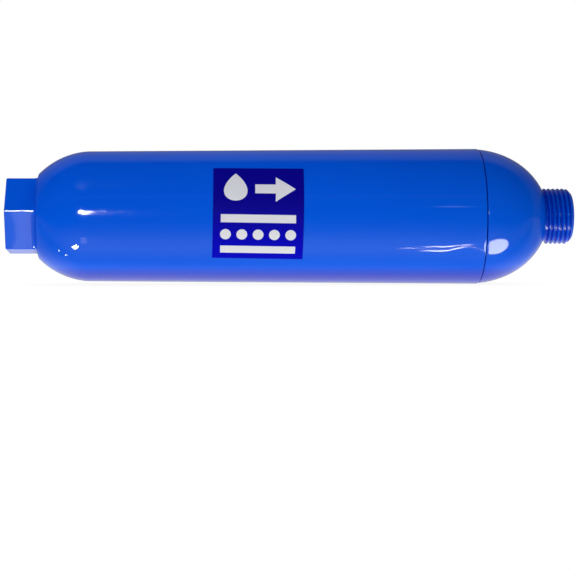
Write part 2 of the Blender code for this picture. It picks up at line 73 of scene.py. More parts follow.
# Housing
WALL = 3.2
INLET_RADIUS = SEAM_RADIUS - 1.56
DOME_X = -96.5
DOME_REACH = 33.76
DOME_POWER = 1.873
HEX_FLATS = 34.0
HEX_CORNER = math.radians(22.5)
CORNER_LEAN = math.radians(4.0)
CORNER_CUT = 0.17
HEX_END_ROUNDING = 0.7
SHOULDER_X = -121.1
SHOULDER_ROUNDING = 1.0
BOSS_FILLET = 2.6
BOSS_FILLET_RISE = 1.7
LEDGE_X = -94.0
CHAMBER_RADIUS = 25.5
CHAMBER_FLOOR_X = -117.0
SOCKET_FLOOR_X = -120.4
THROAT_RADIUS = 8.0

# Sink mark: its middle, its reach along and around the tube, and its steepest slope
SINK_X = 81.6
SINK_ANGLE = math.radians(118.6)
SINK_LENGTH = 6.5
SINK_WIDTH = 5.5
SINK_SLOPE = 0.095

# Cap
CAP_X = 87.28
CAP_REACH = 37.71
CAP_RADIUS = SEAM_RADIUS - 0.155
SEAM_GAP = 0.3
SEAM_ROUNDING = 0.45
SPIGOT_X = 119.8
OUTLET_BORE = 8.5
SPIGOT_END_RADIUS = 11.1
TONGUE_END_X = 82.0
TONGUE_RADIUS = 29.2
TONGUE_BORE = 26.95

# Garden hose thread
PITCH = 25.4 / 11.5
THREAD_FLANK = 0.374          # share of the pitch
THREAD_HALF_CREST = 0.0625
MALE_CREST = 13.49
MALE_ROOT = 12.06
FEMALE_ROOT = 13.62
FEMALE_CREST = 12.19

# Strainer and hose washer in the socket
STRAINER_BORE = 8.6
SCREEN_SEAT = 9.75
SCREEN_PITCH = 0.95

# Columns around a turned piece
COLUMNS = 180
SMALL_COLUMNS = 96

# Plates, nets and layers inside
PLATE_THICKNESS = 3.0
PLATE_HOLE = 2.4
INLET_PLATE_HOLES = ((9.0, 6), (19.0, 12))
SPRUNG_PLATE_HOLES = ((8.5, 6), (22.0, 12))
PLATE_RIM_WALL = 2.3
GROOVE_START = 3.4
GROOVE_END = 5.4
GROOVE_RADIUS = 26.9
COLLAR_INNER = 13.4
COLLAR_OUTER = 15.4
COLLAR_HEIGHT = 3.2
SEAT_THICKNESS = 1.2
NET_PITCH = 2.15
SPRING_WIRE = 0.8
SPRING_ACTIVE_TURNS = 4

# Print on the label, measured from its upper inlet-side corner
PRINT_WIDTH = LABEL_END_X - LABEL_START_X
LABEL_TOP = math.radians(45.2)
LABEL_BOTTOM = math.radians(128.3)
LABEL_TILT = math.radians(0.9)
LABEL_FACES = (0.04, 0.10)     # heights above the tube
PRINT_HEIGHT = 46.5
DROP_X = 10.5
DROP_BOTTOM = 17.8
DROP_HEIGHT = 14.5
DROP_FULLNESS = 14.5
DROP_TRIM = 0.1
ARROW_Y = 11.8
SHAFT_X = 24.6
SHAFT_WIDTH = 10.0
SHAFT_HEIGHT = 4.6
HEAD_TIP_X = 38.6
HEAD_WIDTH = 9.4
HEAD_HEIGHT = 12.6
BAR_ROWS = (26.2, 41.4)
BAR_WIDTH = 35.0
BAR_HEIGHT = 3.8
DOT_ROW = 33.8
DOTS = 5
DOT_PITCH = 7.6
DOT_RADIUS = 2.5

# Colours
WHITE = (1.0, 1.0, 1.0, 1.0)
BLUE_DEEP = (0.0008, 0.114, 0.87, 1.0)
BLUE_BRIGHT = (0.0012, 0.123, 0.90, 1.0)
# Deep blue painted into grooves, recesses and the socket as shade
BLUE_PAINTED_SHADE = (0.0004, 0.026, 0.52, 1.0)
# Navy of the label, with painted shading: darker at the top, lighter at the bottom
NAVY_PAINTED_SHADE_TOP = (0.003, 0.0008, 0.30, 1.0)
NAVY_PAINTED_LIGHT_BOTTOM = (0.0006, 0.0006, 0.58, 1.0)

# Brightness seen in the gloss, by direction: degrees down from level on the label's side, to
# 180 level behind, and upwards as negative
GLOSS = ((-180, 0.12), (-172, 0.16), (-150, 0.22), (-118, 0.22), (-108, 0.0), (-37, 0.0), (-34, 0.10),
         (-31, 0.0), (10, 0.0), (24, 0.12), (42, 0.48), (54, 0.62), (64, 0.55), (76, 0.28), (92, 0.22),
         (106, 0.60), (124, 0.90), (150, 0.85), (167, 0.72), (175, 0.25), (180, 0.12))
LAMP_DISTANCE = 600.0
LIGHT_ABOVE = 0.17
LIGHT_BELOW = 1.32
LIGHT_BAND = (-0.27, 0.15)     # heights between which the light falls off
END_LIFT = 0.42                # how far the band drops towards both ends
END_GLOSS = 0.30               # brightness left in the gloss towards both ends
FILL_PLACE = (-0.30, -0.45, 0.75)
FILL_AIM = (-0.095, -0.02, 0.05)
FILL_POWER = 42.0
FILL_SPREAD = math.radians(26.0)

# Layers that follow the tube's draft
TAPERED = ("inlet_felt", "copper_zinc_bed", "divider_felt", "carbon_bed")

# node, piece, slot, body, edge rounding, depth of the unevenness, its size
LAYERS = (
    ("inlet_felt", "felt_inlet", "felt", "filter", 0.9, 0.16, 0.8),
    ("copper_zinc_bed", "bed_copper_zinc", "copper_zinc", "filter", 0.3, 0.34, 0.6),
    ("divider_felt", "felt_divider", "felt", "filter", 0.7, 0.16, 0.8),
    ("carbon_bed", "bed_carbon", "carbon", "filter", 0.4, 0.7, 1.1),
    ("carbon_felt", "felt_carbon", "felt", "sprung_stack", 0.7, 0.16, 0.8),
    ("sediment_pad", "pad_sediment", "fine_felt", "sprung_stack", 1.2, 0.22, 0.9),
)


# ---------------------------------------------------------------- mesh helpers

def superellipse(centre, reach, radius, power, x):
    """Radius of a dome at x, zero past its tip."""
    share = np.clip(np.abs(x - centre) / reach, 0.0, 1.0)
    return radius * (1.0 - share ** power) ** (1.0 / power)


def smooth_max(a, b, width):
    """The larger of two surfaces, with a fillet where they meet."""
    blend = np.clip(0.5 + 0.5 * (a - b) / width, 0.0, 1.0)
    return b * (1.0 - blend) + a * blend + width * blend * (1.0 - blend)


def smooth_min(a, b, width):
    """The smaller of two surfaces, with a rounding where they meet."""
    return -smooth_max(-a, -b, width)


def even_angles(columns=COLUMNS):
    """Angles of evenly spaced columns."""
    return (np.arange(columns) + 0.5) * math.tau / columns


def skin(name, xs, radii, angles, closed=True):
    """A wall turned around the filter's axis. Each row of xs and radii is one ring."""
    rows, columns = radii.shape
    y = -radii * np.sin(angles)
    z = AXIS_HEIGHT + radii * np.cos(angles)
    points = np.stack([xs, y, z], axis=-1).reshape(-1, 3) * MM
    faces = []
    last_row = rows if closed else rows - 1
    for row in range(last_row):
        here = row * columns
        there = (row + 1) % rows * columns
        for column in range(columns):
            following = (column + 1) % columns
            faces.append((here + column, here + following, there + following, there + column))
    return mesh_piece(name, points, faces)


def mesh_piece(name, points, faces, sharp_angle=35.0):
    """A smooth-shaded object from points in metres."""
    mesh = bpy.data.meshes.new(name)
    mesh.from_pydata([tuple(point) for point in points], [], faces)
    mesh.validate()
    mesh.shade_smooth()
    mesh.set_sharp_from_angle(angle=math.radians(sharp_angle))
    piece = bpy.data.objects.new(name, mesh)
    bpy.context.scene.collection.objects.link(piece)
    return piece


def joined_piece(name, parts):
    """One object from several lists of points and faces."""
    points, faces = [], []
    for part_points, part_faces in parts:
        first = len(points)
        points.extend(part_points)
        faces.extend([tuple(first + corner for corner in face) for face in part_faces])
    return mesh_piece(name, points, faces)


def wire_part(path, radius, sides=6):
    """A round wire along a path of points, closed at both ends. All in millimetres."""
    path = np.asarray(path, dtype=float)
    along = np.gradient(path, axis=0)
    along /= np.linalg.norm(along, axis=1)[:, None]
    hint = np.array([1.0, 0.0, 0.0]) if abs(along[0][0]) < 0.9 else np.array([0.0, 0.0, 1.0])
    across = np.cross(along, hint)
    across /= np.linalg.norm(across, axis=1)[:, None]
    upward = np.cross(across, along)
    turn = np.arange(sides) * math.tau / sides
    offset = (across[:, None, :] * np.cos(turn)[None, :, None]
              + upward[:, None, :] * np.sin(turn)[None, :, None])
    points = (path[:, None, :] + radius * offset).reshape(-1, 3) * MM
    faces = []
    for ring in range(len(path) - 1):
        for side in range(sides):
            here = ring * sides + side
            beside = ring * sides + (side + 1) % sides
            faces.append((here, beside, beside + sides, here + sides))
    faces.append(tuple(range(sides))[::-1])
    faces.append(tuple(range((len(path) - 1) * sides, len(path) * sides)))
    return [tuple(point) for point in points], faces


def finish(piece, material, node, body="filter"):
    """A piece's material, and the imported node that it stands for."""
    piece.data.materials.append(material)
    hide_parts(node)
    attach(piece, body)
    return piece


def cut(piece, cutter):
    """Take one object out of another, and remove the cutter."""
    modifier = piece.modifiers.new("openings", "BOOLEAN")
    modifier.object = cutter
    modifier.solver = "EXACT"
    graph = bpy.context.evaluated_depsgraph_get()
    result = bpy.data.meshes.new_from_object(piece.evaluated_get(graph), depsgraph=graph)
    piece.modifiers.clear()
    piece.data = result
    bpy.data.objects.remove(cutter, do_unlink=True)
    result.shade_smooth()
    result.set_sharp_from_angle(angle=math.radians(35))


class Profile:
    """Rings of a turned piece, collected in order around its cross-section."""

    def __init__(self, angles):
        self.angles = angles
        self.xs = []
        self.radii = []

    def add(self, x, radius):
        """One ring. Both values are a number or one number for each column."""
        self.xs.append(np.broadcast_to(x, len(self.angles)).astype(float))
        self.radii.append(np.broadcast_to(radius, len(self.angles)).astype(float))

    def line(self, *corners):
        """Rings at plain corners."""
        for x, radius in corners:
            self.add(x, radius)

    def arc(self, centre_x, centre_radius, size, start, end, steps=4):
        """A quarter round, with angles in degrees from +X towards the outside."""
        for step in range(steps + 1):
            turn = math.radians(start + (end - start) * step / steps)
            self.add(centre_x + size * math.cos(turn), centre_radius + size * math.sin(turn))

    def piece(self, name):
        """The finished object."""
        return skin(name, np.array(self.xs), np.array(self.radii), self.angles)


def thread_height(x, angles, start, first_turn, last_turn):
    """How far a right-hand thread stands up, from 0 at its root to 1 at its crest."""
    travel = (x - start) / PITCH - angles / math.tau
    phase = travel - np.floor(travel)
    away = np.abs(phase - 0.5)
    height = np.clip((THREAD_FLANK + THREAD_HALF_CREST - away) / THREAD_FLANK, 0.0, 1.0)
    height = height * height * (3.0 - 2.0 * height) * 0.35 + height * 0.65
    turn = np.floor(travel) + angles / math.tau
    fade = np.clip((turn - first_turn) / 0.15, 0.0, 1.0) * np.clip((last_turn - turn) / 0.15, 0.0, 1.0)
    return height * fade


# ---------------------------------------------------------------- blue mouldings

def hex_radius(angles, flats):
    """Distance from the axis to a hexagon whose corners are flattened a little."""
    sector = math.tau / 6
    from_flat = (angles - HEX_CORNER) % sector - sector / 2
    plain = flats / 2 / np.cos(from_flat)
    from_corner = (angles - HEX_CORNER + sector / 2) % sector - sector / 2
    corner = flats / 2 / math.cos(sector / 2)
    land = (corner * math.cos(CORNER_LEAN) - CORNER_CUT) / np.cos(from_corner - CORNER_LEAN)
    return smooth_min(plain, land, 0.03)


def tube_radius(x):
    """Outer radius of the drafted tube."""
    return INLET_RADIUS + (SEAM_RADIUS - INLET_RADIUS) * (x - DOME_X) / (SEAM_X - DOME_X)


def sink_mark(x, angles):
    """A slight step in the skin near the weld, where the moulding cooled last."""
    around = (angles - SINK_ANGLE) * SEAM_RADIUS
    away = ((x - SINK_X) / SINK_LENGTH) ** 2 + (around / SINK_WIDTH) ** 2
    return -SINK_SLOPE * around * np.exp(-away)


def hex_end(angles):
    """Rings of the hexagonal boss, from its rounded end to the fillet at the dome's shoulder."""
    flats = hex_radius(angles, HEX_FLATS)
    for turn in np.radians(np.linspace(0, 90, 6)):
        yield (INLET_X + HEX_END_ROUNDING * (1 - math.sin(turn)),
               flats - HEX_END_ROUNDING * (1 - math.cos(turn)))


def shoulder(angles):
    """Rings from the boss, up the dome's flat end and around its edge."""
    flats = hex_radius(angles, HEX_FLATS)
    corner_x = SHOULDER_X + SHOULDER_ROUNDING * (1 - math.sqrt(0.5))
    edge = dome_radius(corner_x) - SHOULDER_ROUNDING * math.sqrt(0.5)
    rise = np.minimum(BOSS_FILLET_RISE, edge - flats - 0.05)
    for turn in np.radians(np.linspace(0, 90, 9)):
        yield SHOULDER_X - BOSS_FILLET * (1 - math.sin(turn)), flats + rise * (1 - math.cos(turn))
    for turn in np.radians(np.linspace(180, 140, 5)):
        yield (SHOULDER_X + SHOULDER_ROUNDING * (1 + math.cos(turn)),
               edge + SHOULDER_ROUNDING * math.sin(turn))


def dome_radius(x):
    """Outer radius of the inlet dome at x."""
    return superellipse(DOME_X, DOME_REACH, INLET_RADIUS, DOME_POWER, x)


def hex_columns():
    """Even columns, with more of them around each corner of the hexagon and by the sink marks."""
    angles = list(even_angles(132))
    angles += list(SINK_ANGLE + np.radians(np.linspace(-13, 13, 40)))
    for corner in range(6):
        middle = HEX_CORNER + corner * math.tau / 6
        for step in (-2.0, -1.3, -0.95, -0.7, -0.45, 0.0, 0.45, 0.7, 0.95, 1.3, 2.0):
            angles.append((middle + math.radians(step)) % math.tau)
    return np.array(sorted(set(round(angle, 5) for angle in angles)))


def make_housing(material):
    """Tube, inlet dome and hexagonal boss with the female thread."""
    angles = hex_columns()
    shape = Profile(angles)
    for x, radius in list(hex_end(angles))[::-1] + list(shoulder(angles)):
        shape.add(x, radius)
    for x in np.linspace(SHOULDER_X + SHOULDER_ROUNDING * 0.5, DOME_X, 40):
        shape.add(x, dome_radius(x))
    plain = np.linspace(-90.0, SINK_X - 12.0, 22)
    by_sink = np.linspace(SINK_X - 11.5, SEAM_X - 1.5, 40)
    for x in np.concatenate([plain, by_sink]):
        shape.add(x, tube_radius(x) + sink_mark(x, angles))
    shape.arc(SEAM_X - SEAM_ROUNDING, SEAM_RADIUS - SEAM_ROUNDING, SEAM_ROUNDING, 90, 0)

    bore = tube_radius(SEAM_X) - WALL
    shape.line((SEAM_X, bore + 0.3), (SEAM_X - 0.3, bore))
    at_ledge = tube_radius(LEDGE_X) - WALL
    shape.line((LEDGE_X + 0.3, at_ledge), (LEDGE_X, at_ledge - 0.3))
    shape.line((LEDGE_X, CHAMBER_RADIUS + 0.4), (LEDGE_X - 0.4, CHAMBER_RADIUS))
    for x in np.linspace(LEDGE_X - 2.0, CHAMBER_FLOOR_X, 16):
        inner = superellipse(DOME_X, DOME_REACH - WALL, INLET_RADIUS - WALL, DOME_POWER, min(x, DOME_X))
        shape.add(x, min(CHAMBER_RADIUS, inner))
    shape.line((CHAMBER_FLOOR_X, THROAT_RADIUS + 0.8), (CHAMBER_FLOOR_X - 0.8, THROAT_RADIUS))
    shape.line((SOCKET_FLOOR_X + 0.3, THROAT_RADIUS), (SOCKET_FLOOR_X, THROAT_RADIUS + 0.3))
    shape.line((SOCKET_FLOOR_X, FEMALE_ROOT - 0.3), (SOCKET_FLOOR_X - 0.3, FEMALE_ROOT))
    for x in np.arange(-126.0, INLET_X + 0.35, -PITCH / 14):
        lift = thread_height(x, angles, -136.2, 0.4, 3.6)
        opening = FEMALE_ROOT + 0.5 * max(0.0, -135.2 - x)
        shape.add(x, np.maximum(FEMALE_ROOT - lift * (FEMALE_ROOT - FEMALE_CREST), opening - 0.9))
    shape.line((INLET_X + 0.25, FEMALE_ROOT + 0.2), (INLET_X, FEMALE_ROOT + 0.45))
    finish(shape.piece("housing_shell"), material, "housing_body")


def make_cap(material):
    """Outlet dome and the male threaded spigot."""
    angles = even_angles()
    shape = Profile(angles)
    start = SEAM_X + SEAM_GAP
    edge = superellipse(CAP_X, CAP_REACH, CAP_RADIUS, 2.0, start + SEAM_ROUNDING)
    shape.arc(start + SEAM_ROUNDING, edge - SEAM_ROUNDING, SEAM_ROUNDING, 180, 90)
    first = math.asin((start + 1.2 - CAP_X) / CAP_REACH)
    last = math.asin((SPIGOT_X - 0.3 - CAP_X) / CAP_REACH)
    for x in CAP_X + CAP_REACH * np.sin(np.linspace(first, last, 40)):
        shape.add(x, superellipse(CAP_X, CAP_REACH, CAP_RADIUS, 2.0, x))
    for x in np.arange(SPIGOT_X, CAP_END_X - 0.02, PITCH / 16):
        dome = superellipse(CAP_X, CAP_REACH, CAP_RADIUS, 2.0, x)
        lift = thread_height(x, angles, SPIGOT_X + 0.25, 0.75, 6.75)
        spigot = MALE_ROOT + lift * (MALE_CREST - MALE_ROOT)
        chamfer = SPIGOT_END_RADIUS + 0.3 + 1.0 * (CAP_END_X - x)
        shape.add(x, smooth_max(np.minimum(spigot, chamfer), np.full_like(angles, dome), 0.3))
    shape.line((CAP_END_X, SPIGOT_END_RADIUS), (CAP_END_X, OUTLET_BORE + 0.5),
               (CAP_END_X - 0.5, OUTLET_BORE))
    inner_radius = CAP_RADIUS - WALL
    inner_reach = CAP_REACH - WALL
    bore_x = CAP_X + inner_reach * math.sqrt(1 - (OUTLET_BORE / inner_radius) ** 2)
    shoulder = CAP_X + inner_reach * math.sqrt(1 - (TONGUE_BORE / inner_radius) ** 2)
    for x in np.linspace(bore_x, shoulder, 16):
        shape.add(x, superellipse(CAP_X, inner_reach, inner_radius, 2.0, x))
    shape.line((TONGUE_END_X, TONGUE_BORE), (TONGUE_END_X, TONGUE_RADIUS - 0.5))
    shape.line((TONGUE_END_X + 1.0, TONGUE_RADIUS), (start, TONGUE_RADIUS))
    finish(shape.piece("cap_shell"), material, "outlet_cap")


# ---------------------------------------------------------------- pieces in the inlet socket

def soft_block(shape, start, end, inner, outer, rounding):
    """A ring with rounded edges, carried around from its inner edge at start."""
    shape.arc(start + rounding, inner + rounding, rounding, 270, 180)
    shape.arc(start + rounding, outer - rounding, rounding, 180, 90)
    shape.arc(end - rounding, outer - rounding, rounding, 90, 0)
    shape.arc(end - rounding, inner + rounding, rounding, 360, 270)


def make_washer(material):
    """The hose washer, with two sealing ridges on its outer face."""
    start, end, outer = span("hose_washer")
    shape = Profile(even_angles(SMALL_COLUMNS))
    shape.arc(end - 0.4, STRAINER_BORE + 0.4, 0.4, 360, 180, 8)
    middle = (STRAINER_BORE + outer) / 2
    for ridge in (middle - 1.1, middle + 1.1):
        for step in np.linspace(-0.6, 0.6, 7):
            shape.add(start + 0.25 * (1 - math.cos(step / 0.6 * math.pi)), ridge + step)
    shape.arc(start + 0.9, outer - 0.5, 0.5, 180, 0, 8)
    finish(shape.piece("rubber_washer"), material, "hose_washer")


def make_screen(material):
    """The strainer's woven wire disc."""
    start, end, reach = span("inlet_screen")
    middle = (start + end) / 2
    wire = (end - start) / 4
    lines = int(reach / SCREEN_PITCH)
    parts = []
    for direction in (0, 1):
        for line in range(-lines, lines + 1):
            offset = line * SCREEN_PITCH
            half = math.sqrt(max(0.0, (reach - wire) ** 2 - offset ** 2))
            if half < SCREEN_PITCH:
                continue
            along = np.linspace(-half, half, max(8, int(half / SCREEN_PITCH * 8)))
            sign = 1 if (line + direction) % 2 else -1
            weave = middle + sign * wire * np.cos(along / SCREEN_PITCH * math.pi) * 0.95
            side = np.full_like(along, offset)
            y, z = (along, side) if direction else (side, along)
            parts.append(wire_part(np.stack([weave, y, z + AXIS_HEIGHT], axis=1), wire, 6))
    finish(joined_piece("woven_screen", parts), material, "inlet_screen")


def make_screen_rim(material):
    """The pressed rim around the woven disc, with a rolled outer edge."""
    start, end, outer = span("inlet_screen_rim")
    shape = Profile(even_angles(SMALL_COLUMNS))
    shape.line((end, STRAINER_BORE + 0.2), (end - 0.2, STRAINER_BORE), (end - 0.3, STRAINER_BORE))
    shape.line((end - 0.5, STRAINER_BORE + 0.2), (end - 0.5, SCREEN_SEAT), (start + 0.25, SCREEN_SEAT))
    shape.arc(start + 0.25, SCREEN_SEAT + 0.25, 0.25, 270, 180)
    shape.line((start + 0.15, SCREEN_SEAT + 0.8), (start + 0.15, outer - 1.3))
    shape.arc(start + 0.55, outer - 0.55, 0.55, 180, 45, 8)
    shape.line((end - 0.3, outer - 0.3), (end, outer - 0.6))
    finish(shape.piece("strainer_rim"), material, "inlet_screen_rim")


# ---------------------------------------------------------------- plates, nets and felts

def make_gasket(material):
    """Flat rubber ring under the inlet plate."""
    start, end, outer = span("inlet_gasket")
    shape = Profile(even_angles(SMALL_COLUMNS))
    soft_block(shape, start, end, CHAMBER_RADIUS + 0.3, outer, 0.35)
    finish(shape.piece("plate_gasket"), material, "inlet_gasket")


def hole_cutter(rings, start, end):
    """Round holes through a plate, flared at both faces."""
    parts = []
    sides = 20
    turn = np.arange(sides) * math.tau / sides
    reach = PLATE_HOLE - 0.2
    steps = [(start - 1.0, reach + 1.4), (start, reach + 0.4), (start + 0.4, reach),
             (end - 0.4, reach), (end, reach + 0.4), (end + 1.0, reach + 1.4)]
    for ring_radius, count in rings:
        for number in range(count):
            place = math.tau * (number + 0.5) / count
            middle_y = ring_radius * math.cos(place)
            middle_z = AXIS_HEIGHT + ring_radius * math.sin(place)
            points = []
            for x, radius in steps:
                for angle in turn:
                    points.append((x * MM, (middle_y + radius * math.cos(angle)) * MM,
                                   (middle_z + radius * math.sin(angle)) * MM))
            last = (len(steps) - 1) * sides
            faces = [tuple(range(sides)), tuple(range(last, last + sides))[::-1]]
            for row in range(len(steps) - 1):
                for side in range(sides):
                    here, beside = row * sides + side, row * sides + (side + 1) % sides
                    faces.append((here, here + sides, beside + sides, beside))
            parts.append((points, faces))
    return joined_piece("hole_cutter", parts)


def make_inlet_plate(material):
    """Flat support plate with two rings of holes and a shallow ring groove in each face."""
    start, end, outer = span("inlet_plate")
    shape = Profile(even_angles(SMALL_COLUMNS))
    shape.line((start, PLATE_HOLE + 0.3))
    shape.line((start, 13.2), (start + 0.5, 13.6), (start + 0.5, 14.6), (start, 15.0))
    shape.arc(start + 0.5, outer - 0.5, 0.5, 180, 90)
    shape.arc(end - 0.5, outer - 0.5, 0.5, 90, 0)
    shape.line((end, 24.6), (end - 0.5, 24.2), (end - 0.5, 23.4), (end, 23.0))
    shape.line((end, PLATE_HOLE + 0.3), (end - 0.3, PLATE_HOLE), (start + 0.3, PLATE_HOLE))
    plate = shape.piece("flat_plate")
    cut(plate, hole_cutter(INLET_PLATE_HOLES, start, end))
    finish(plate, material, "inlet_plate")


def make_sprung_plate(material):
    """Plate with a grooved rim, and a collar that centres the spring."""
    start, end, outer = span("sprung_plate")
    web = start + PLATE_THICKNESS
    inner = outer - PLATE_RIM_WALL
    shape = Profile(even_angles(SMALL_COLUMNS))
    shape.line((start + 0.3, PLATE_HOLE), (start, PLATE_HOLE + 0.3))
    shape.arc(start + 0.5, outer - 0.5, 0.5, 180, 90)
    shape.line((start + GROOVE_START - 0.2, outer), (start + GROOVE_START, outer - 0.2))
    shape.line((start + GROOVE_START, GROOVE_RADIUS), (start + GROOVE_END, GROOVE_RADIUS))
    shape.line((start + GROOVE_END, outer - 0.2), (start + GROOVE_END + 0.2, outer))
    shape.arc(end - 0.6, outer - 0.6, 0.6, 90, 0)
    shape.arc(end - 0.6, inner + 0.6, 0.6, 360, 270)
    shape.arc(web + 1.0, inner - 1.0, 1.0, 90, 180)
    shape.arc(web + 0.6, COLLAR_OUTER + 0.6, 0.6, 180, 270)
    shape.arc(web + COLLAR_HEIGHT - 0.5, COLLAR_OUTER - 0.5, 0.5, 90, 0)
    shape.arc(web + COLLAR_HEIGHT - 0.5, COLLAR_INNER + 0.5, 0.5, 360, 270)
    shape.arc(web + 0.6, COLLAR_INNER - 0.6, 0.6, 90, 180)
    shape.line((web, PLATE_HOLE + 0.3), (web - 0.3, PLATE_HOLE))
    plate = shape.piece("bed_plate")
    cut(plate, hole_cutter(SPRUNG_PLATE_HOLES, start, web))
    finish(plate, material, "sprung_plate", "sprung_stack")


def make_net(name, node, material, body):
    """Extruded net: two crossed layers of round strands, fused inside a moulded rim."""
    start, end, reach = span(node)
    strand = (end - start) / 4
    parts = []
    lines = int((reach - 1.0) / NET_PITCH)
    for layer in (0, 1):
        x = start + strand * (1.15 + 1.7 * layer)
        for line in range(-lines, lines + 1):
            offset = line * NET_PITCH
            half = math.sqrt((reach - 0.6) ** 2 - offset ** 2)
            along = np.linspace(-half, half, max(4, int(half / 1.5)))
            flat = np.full_like(along, x)
            side = np.full_like(along, offset) + 0.06 * np.sin(along * 0.9 + line)
            y, z = (along, side) if layer else (side, along)
            parts.append(wire_part(np.stack([flat, y, z + AXIS_HEIGHT], axis=1), strand * 1.1, 6))
    turn = np.linspace(0.0, math.tau, 97)
    rim = np.stack([np.full_like(turn, (start + end) / 2), (reach - 0.35) * np.cos(turn),
                    AXIS_HEIGHT + (reach - 0.35) * np.sin(turn)], axis=1)
    parts.append(wire_part(rim, 0.29, 8))
    finish(joined_piece(name, parts), material, node, body)


def rough_disc(name, node, rounding, roughness, wave, seed, columns=96):
    """A disc or a tapered bed with soft edges and an uneven surface on every side."""
    low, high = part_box(node)
    start, end = low.x / MM, high.x / MM
    outer_end = (high.z - low.z) / 2 / MM
    taper = (SEAM_RADIUS - INLET_RADIUS) / (SEAM_X - DOME_X)
    outer_start = outer_end - taper * (end - start) if node in TAPERED else outer_end
    generator = np.random.default_rng(seed)
    angles = even_angles(columns)
    faces_steps = max(6, int(outer_end / wave))
    side_steps = max(2, int((end - start - 2 * rounding) / wave))
    rings = []
    for radius in np.linspace(0.4, outer_start - rounding, faces_steps):
        rings.append((start, radius, -1.0, 0.0))
    for turn in np.radians((157, 135, 113)):
        rings.append((start + rounding * (1 + math.cos(turn)),
                      outer_start - rounding * (1 - math.sin(turn)), math.cos(turn), math.sin(turn)))
    for share in np.linspace(0.0, 1.0, side_steps + 1):
        x = start + rounding + share * (end - start - 2 * rounding)
        rings.append((x, outer_start + share * (outer_end - outer_start), 0.0, 1.0))
    for turn in np.radians((67, 45, 23)):
        rings.append((end - rounding * (1 - math.cos(turn)),
                      outer_end - rounding * (1 - math.sin(turn)), math.cos(turn), math.sin(turn)))
    for radius in np.linspace(outer_end - rounding, 0.4, faces_steps):
        rings.append((end, radius, 1.0, 0.0))
    shape = Profile(angles)
    for x, radius, out_x, out_radius in rings:
        dent = roughness * generator.random(columns) ** 1.5
        if radius < 2.0:
            dent = np.full(columns, dent.mean())
        shape.add(x - out_x * dent, radius - out_radius * dent)
    return shape.piece(name)


def make_beds_and_felts(materials):
    """Felts, pad and both granular beds."""
    for number, (node, name, slot, body, rounding, roughness, wave) in enumerate(LAYERS):
        piece = rough_disc(name, node, rounding, roughness, wave, 40 + number,
                           240 if slot in ("carbon", "copper_zinc") else 120)
        finish(piece, materials[slot], node, body)


# ---------------------------------------------------------------- spring and seals

def make_wiper(material):
    """Rubber ring with a thin lip that wipes the bore."""
    start, end, outer = span("wiper_ring")
    middle = (start + end) / 2
    shape = Profile(even_angles(120))
    shape.arc(start + 0.2, GROOVE_RADIUS + 0.5, 0.2, 270, 180)
    shape.line((start, outer - 0.8), (start + 0.15, outer - 0.45), (middle - 0.15, outer - 0.05))
    shape.line((middle, outer), (middle + 0.15, outer - 0.05), (end - 0.15, outer - 0.45),
               (end, outer - 0.8))
    shape.arc(end - 0.2, GROOVE_RADIUS + 0.5, 0.2, 360, 270)
    finish(shape.piece("plate_wiper"), material, "wiper_ring", "sprung_stack")


def make_seat(material):
    """Moulded seat on the cap's ribs, with a collar inside the spring."""
    start, end, outer = span("spring_seat")
    flange = end - SEAT_THICKNESS
    shape = Profile(even_angles(SMALL_COLUMNS))
    shape.arc(end - 0.3, outer - 0.3, 0.3, 0, 90)
    shape.arc(flange + 0.3, outer - 0.3, 0.3, 90, 180)
    for turn in np.radians(np.linspace(0, 90, 5)):
        shape.add(flange - 0.4 + 0.4 * math.sin(turn), COLLAR_OUTER + 0.4 * (1 - math.sin(turn)))
    shape.arc(start + 0.4, COLLAR_OUTER - 0.4, 0.4, 90, 180)
    shape.arc(start + 0.4, COLLAR_INNER + 0.4, 0.4, 180, 270)
    shape.arc(end - 0.4, COLLAR_INNER + 0.4, 0.4, 270, 360)
    finish(shape.piece("coil_seat"), material, "spring_seat")


def make_spring(material):
    """Compression spring with closed ends, ground flat where they sit."""
    start, end, outer = span("bed_spring")
    first, last = start + SPRING_WIRE, end - SPRING_WIRE
    closed = 2 * SPRING_WIRE + 0.15
    pitch = (last - first - 2 * closed) / SPRING_ACTIVE_TURNS
    turn = np.linspace(0.0, SPRING_ACTIVE_TURNS + 2, (SPRING_ACTIVE_TURNS + 2) * 60 + 1)
    x = first + closed * np.minimum(turn, 1.0)
    x += pitch * np.clip(turn - 1.0, 0.0, SPRING_ACTIVE_TURNS)
    x += closed * np.maximum(turn - 1.0 - SPRING_ACTIVE_TURNS, 0.0)
    radius = outer - SPRING_WIRE
    path = np.stack([x, radius * np.cos(turn * math.tau),
                     AXIS_HEIGHT + radius * np.sin(turn * math.tau)], axis=1)
    points, faces = wire_part(path, SPRING_WIRE * 0.98, 14)
    ground = (start + 0.15) * MM, (end - 0.15) * MM
    points = [(min(max(x, ground[0]), ground[1]), y, z) for x, y, z in points]
    spring = mesh_piece("compression_spring", points, faces)
    finish(spring, material, "bed_spring")
    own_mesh(spring)


# ---------------------------------------------------------------- label

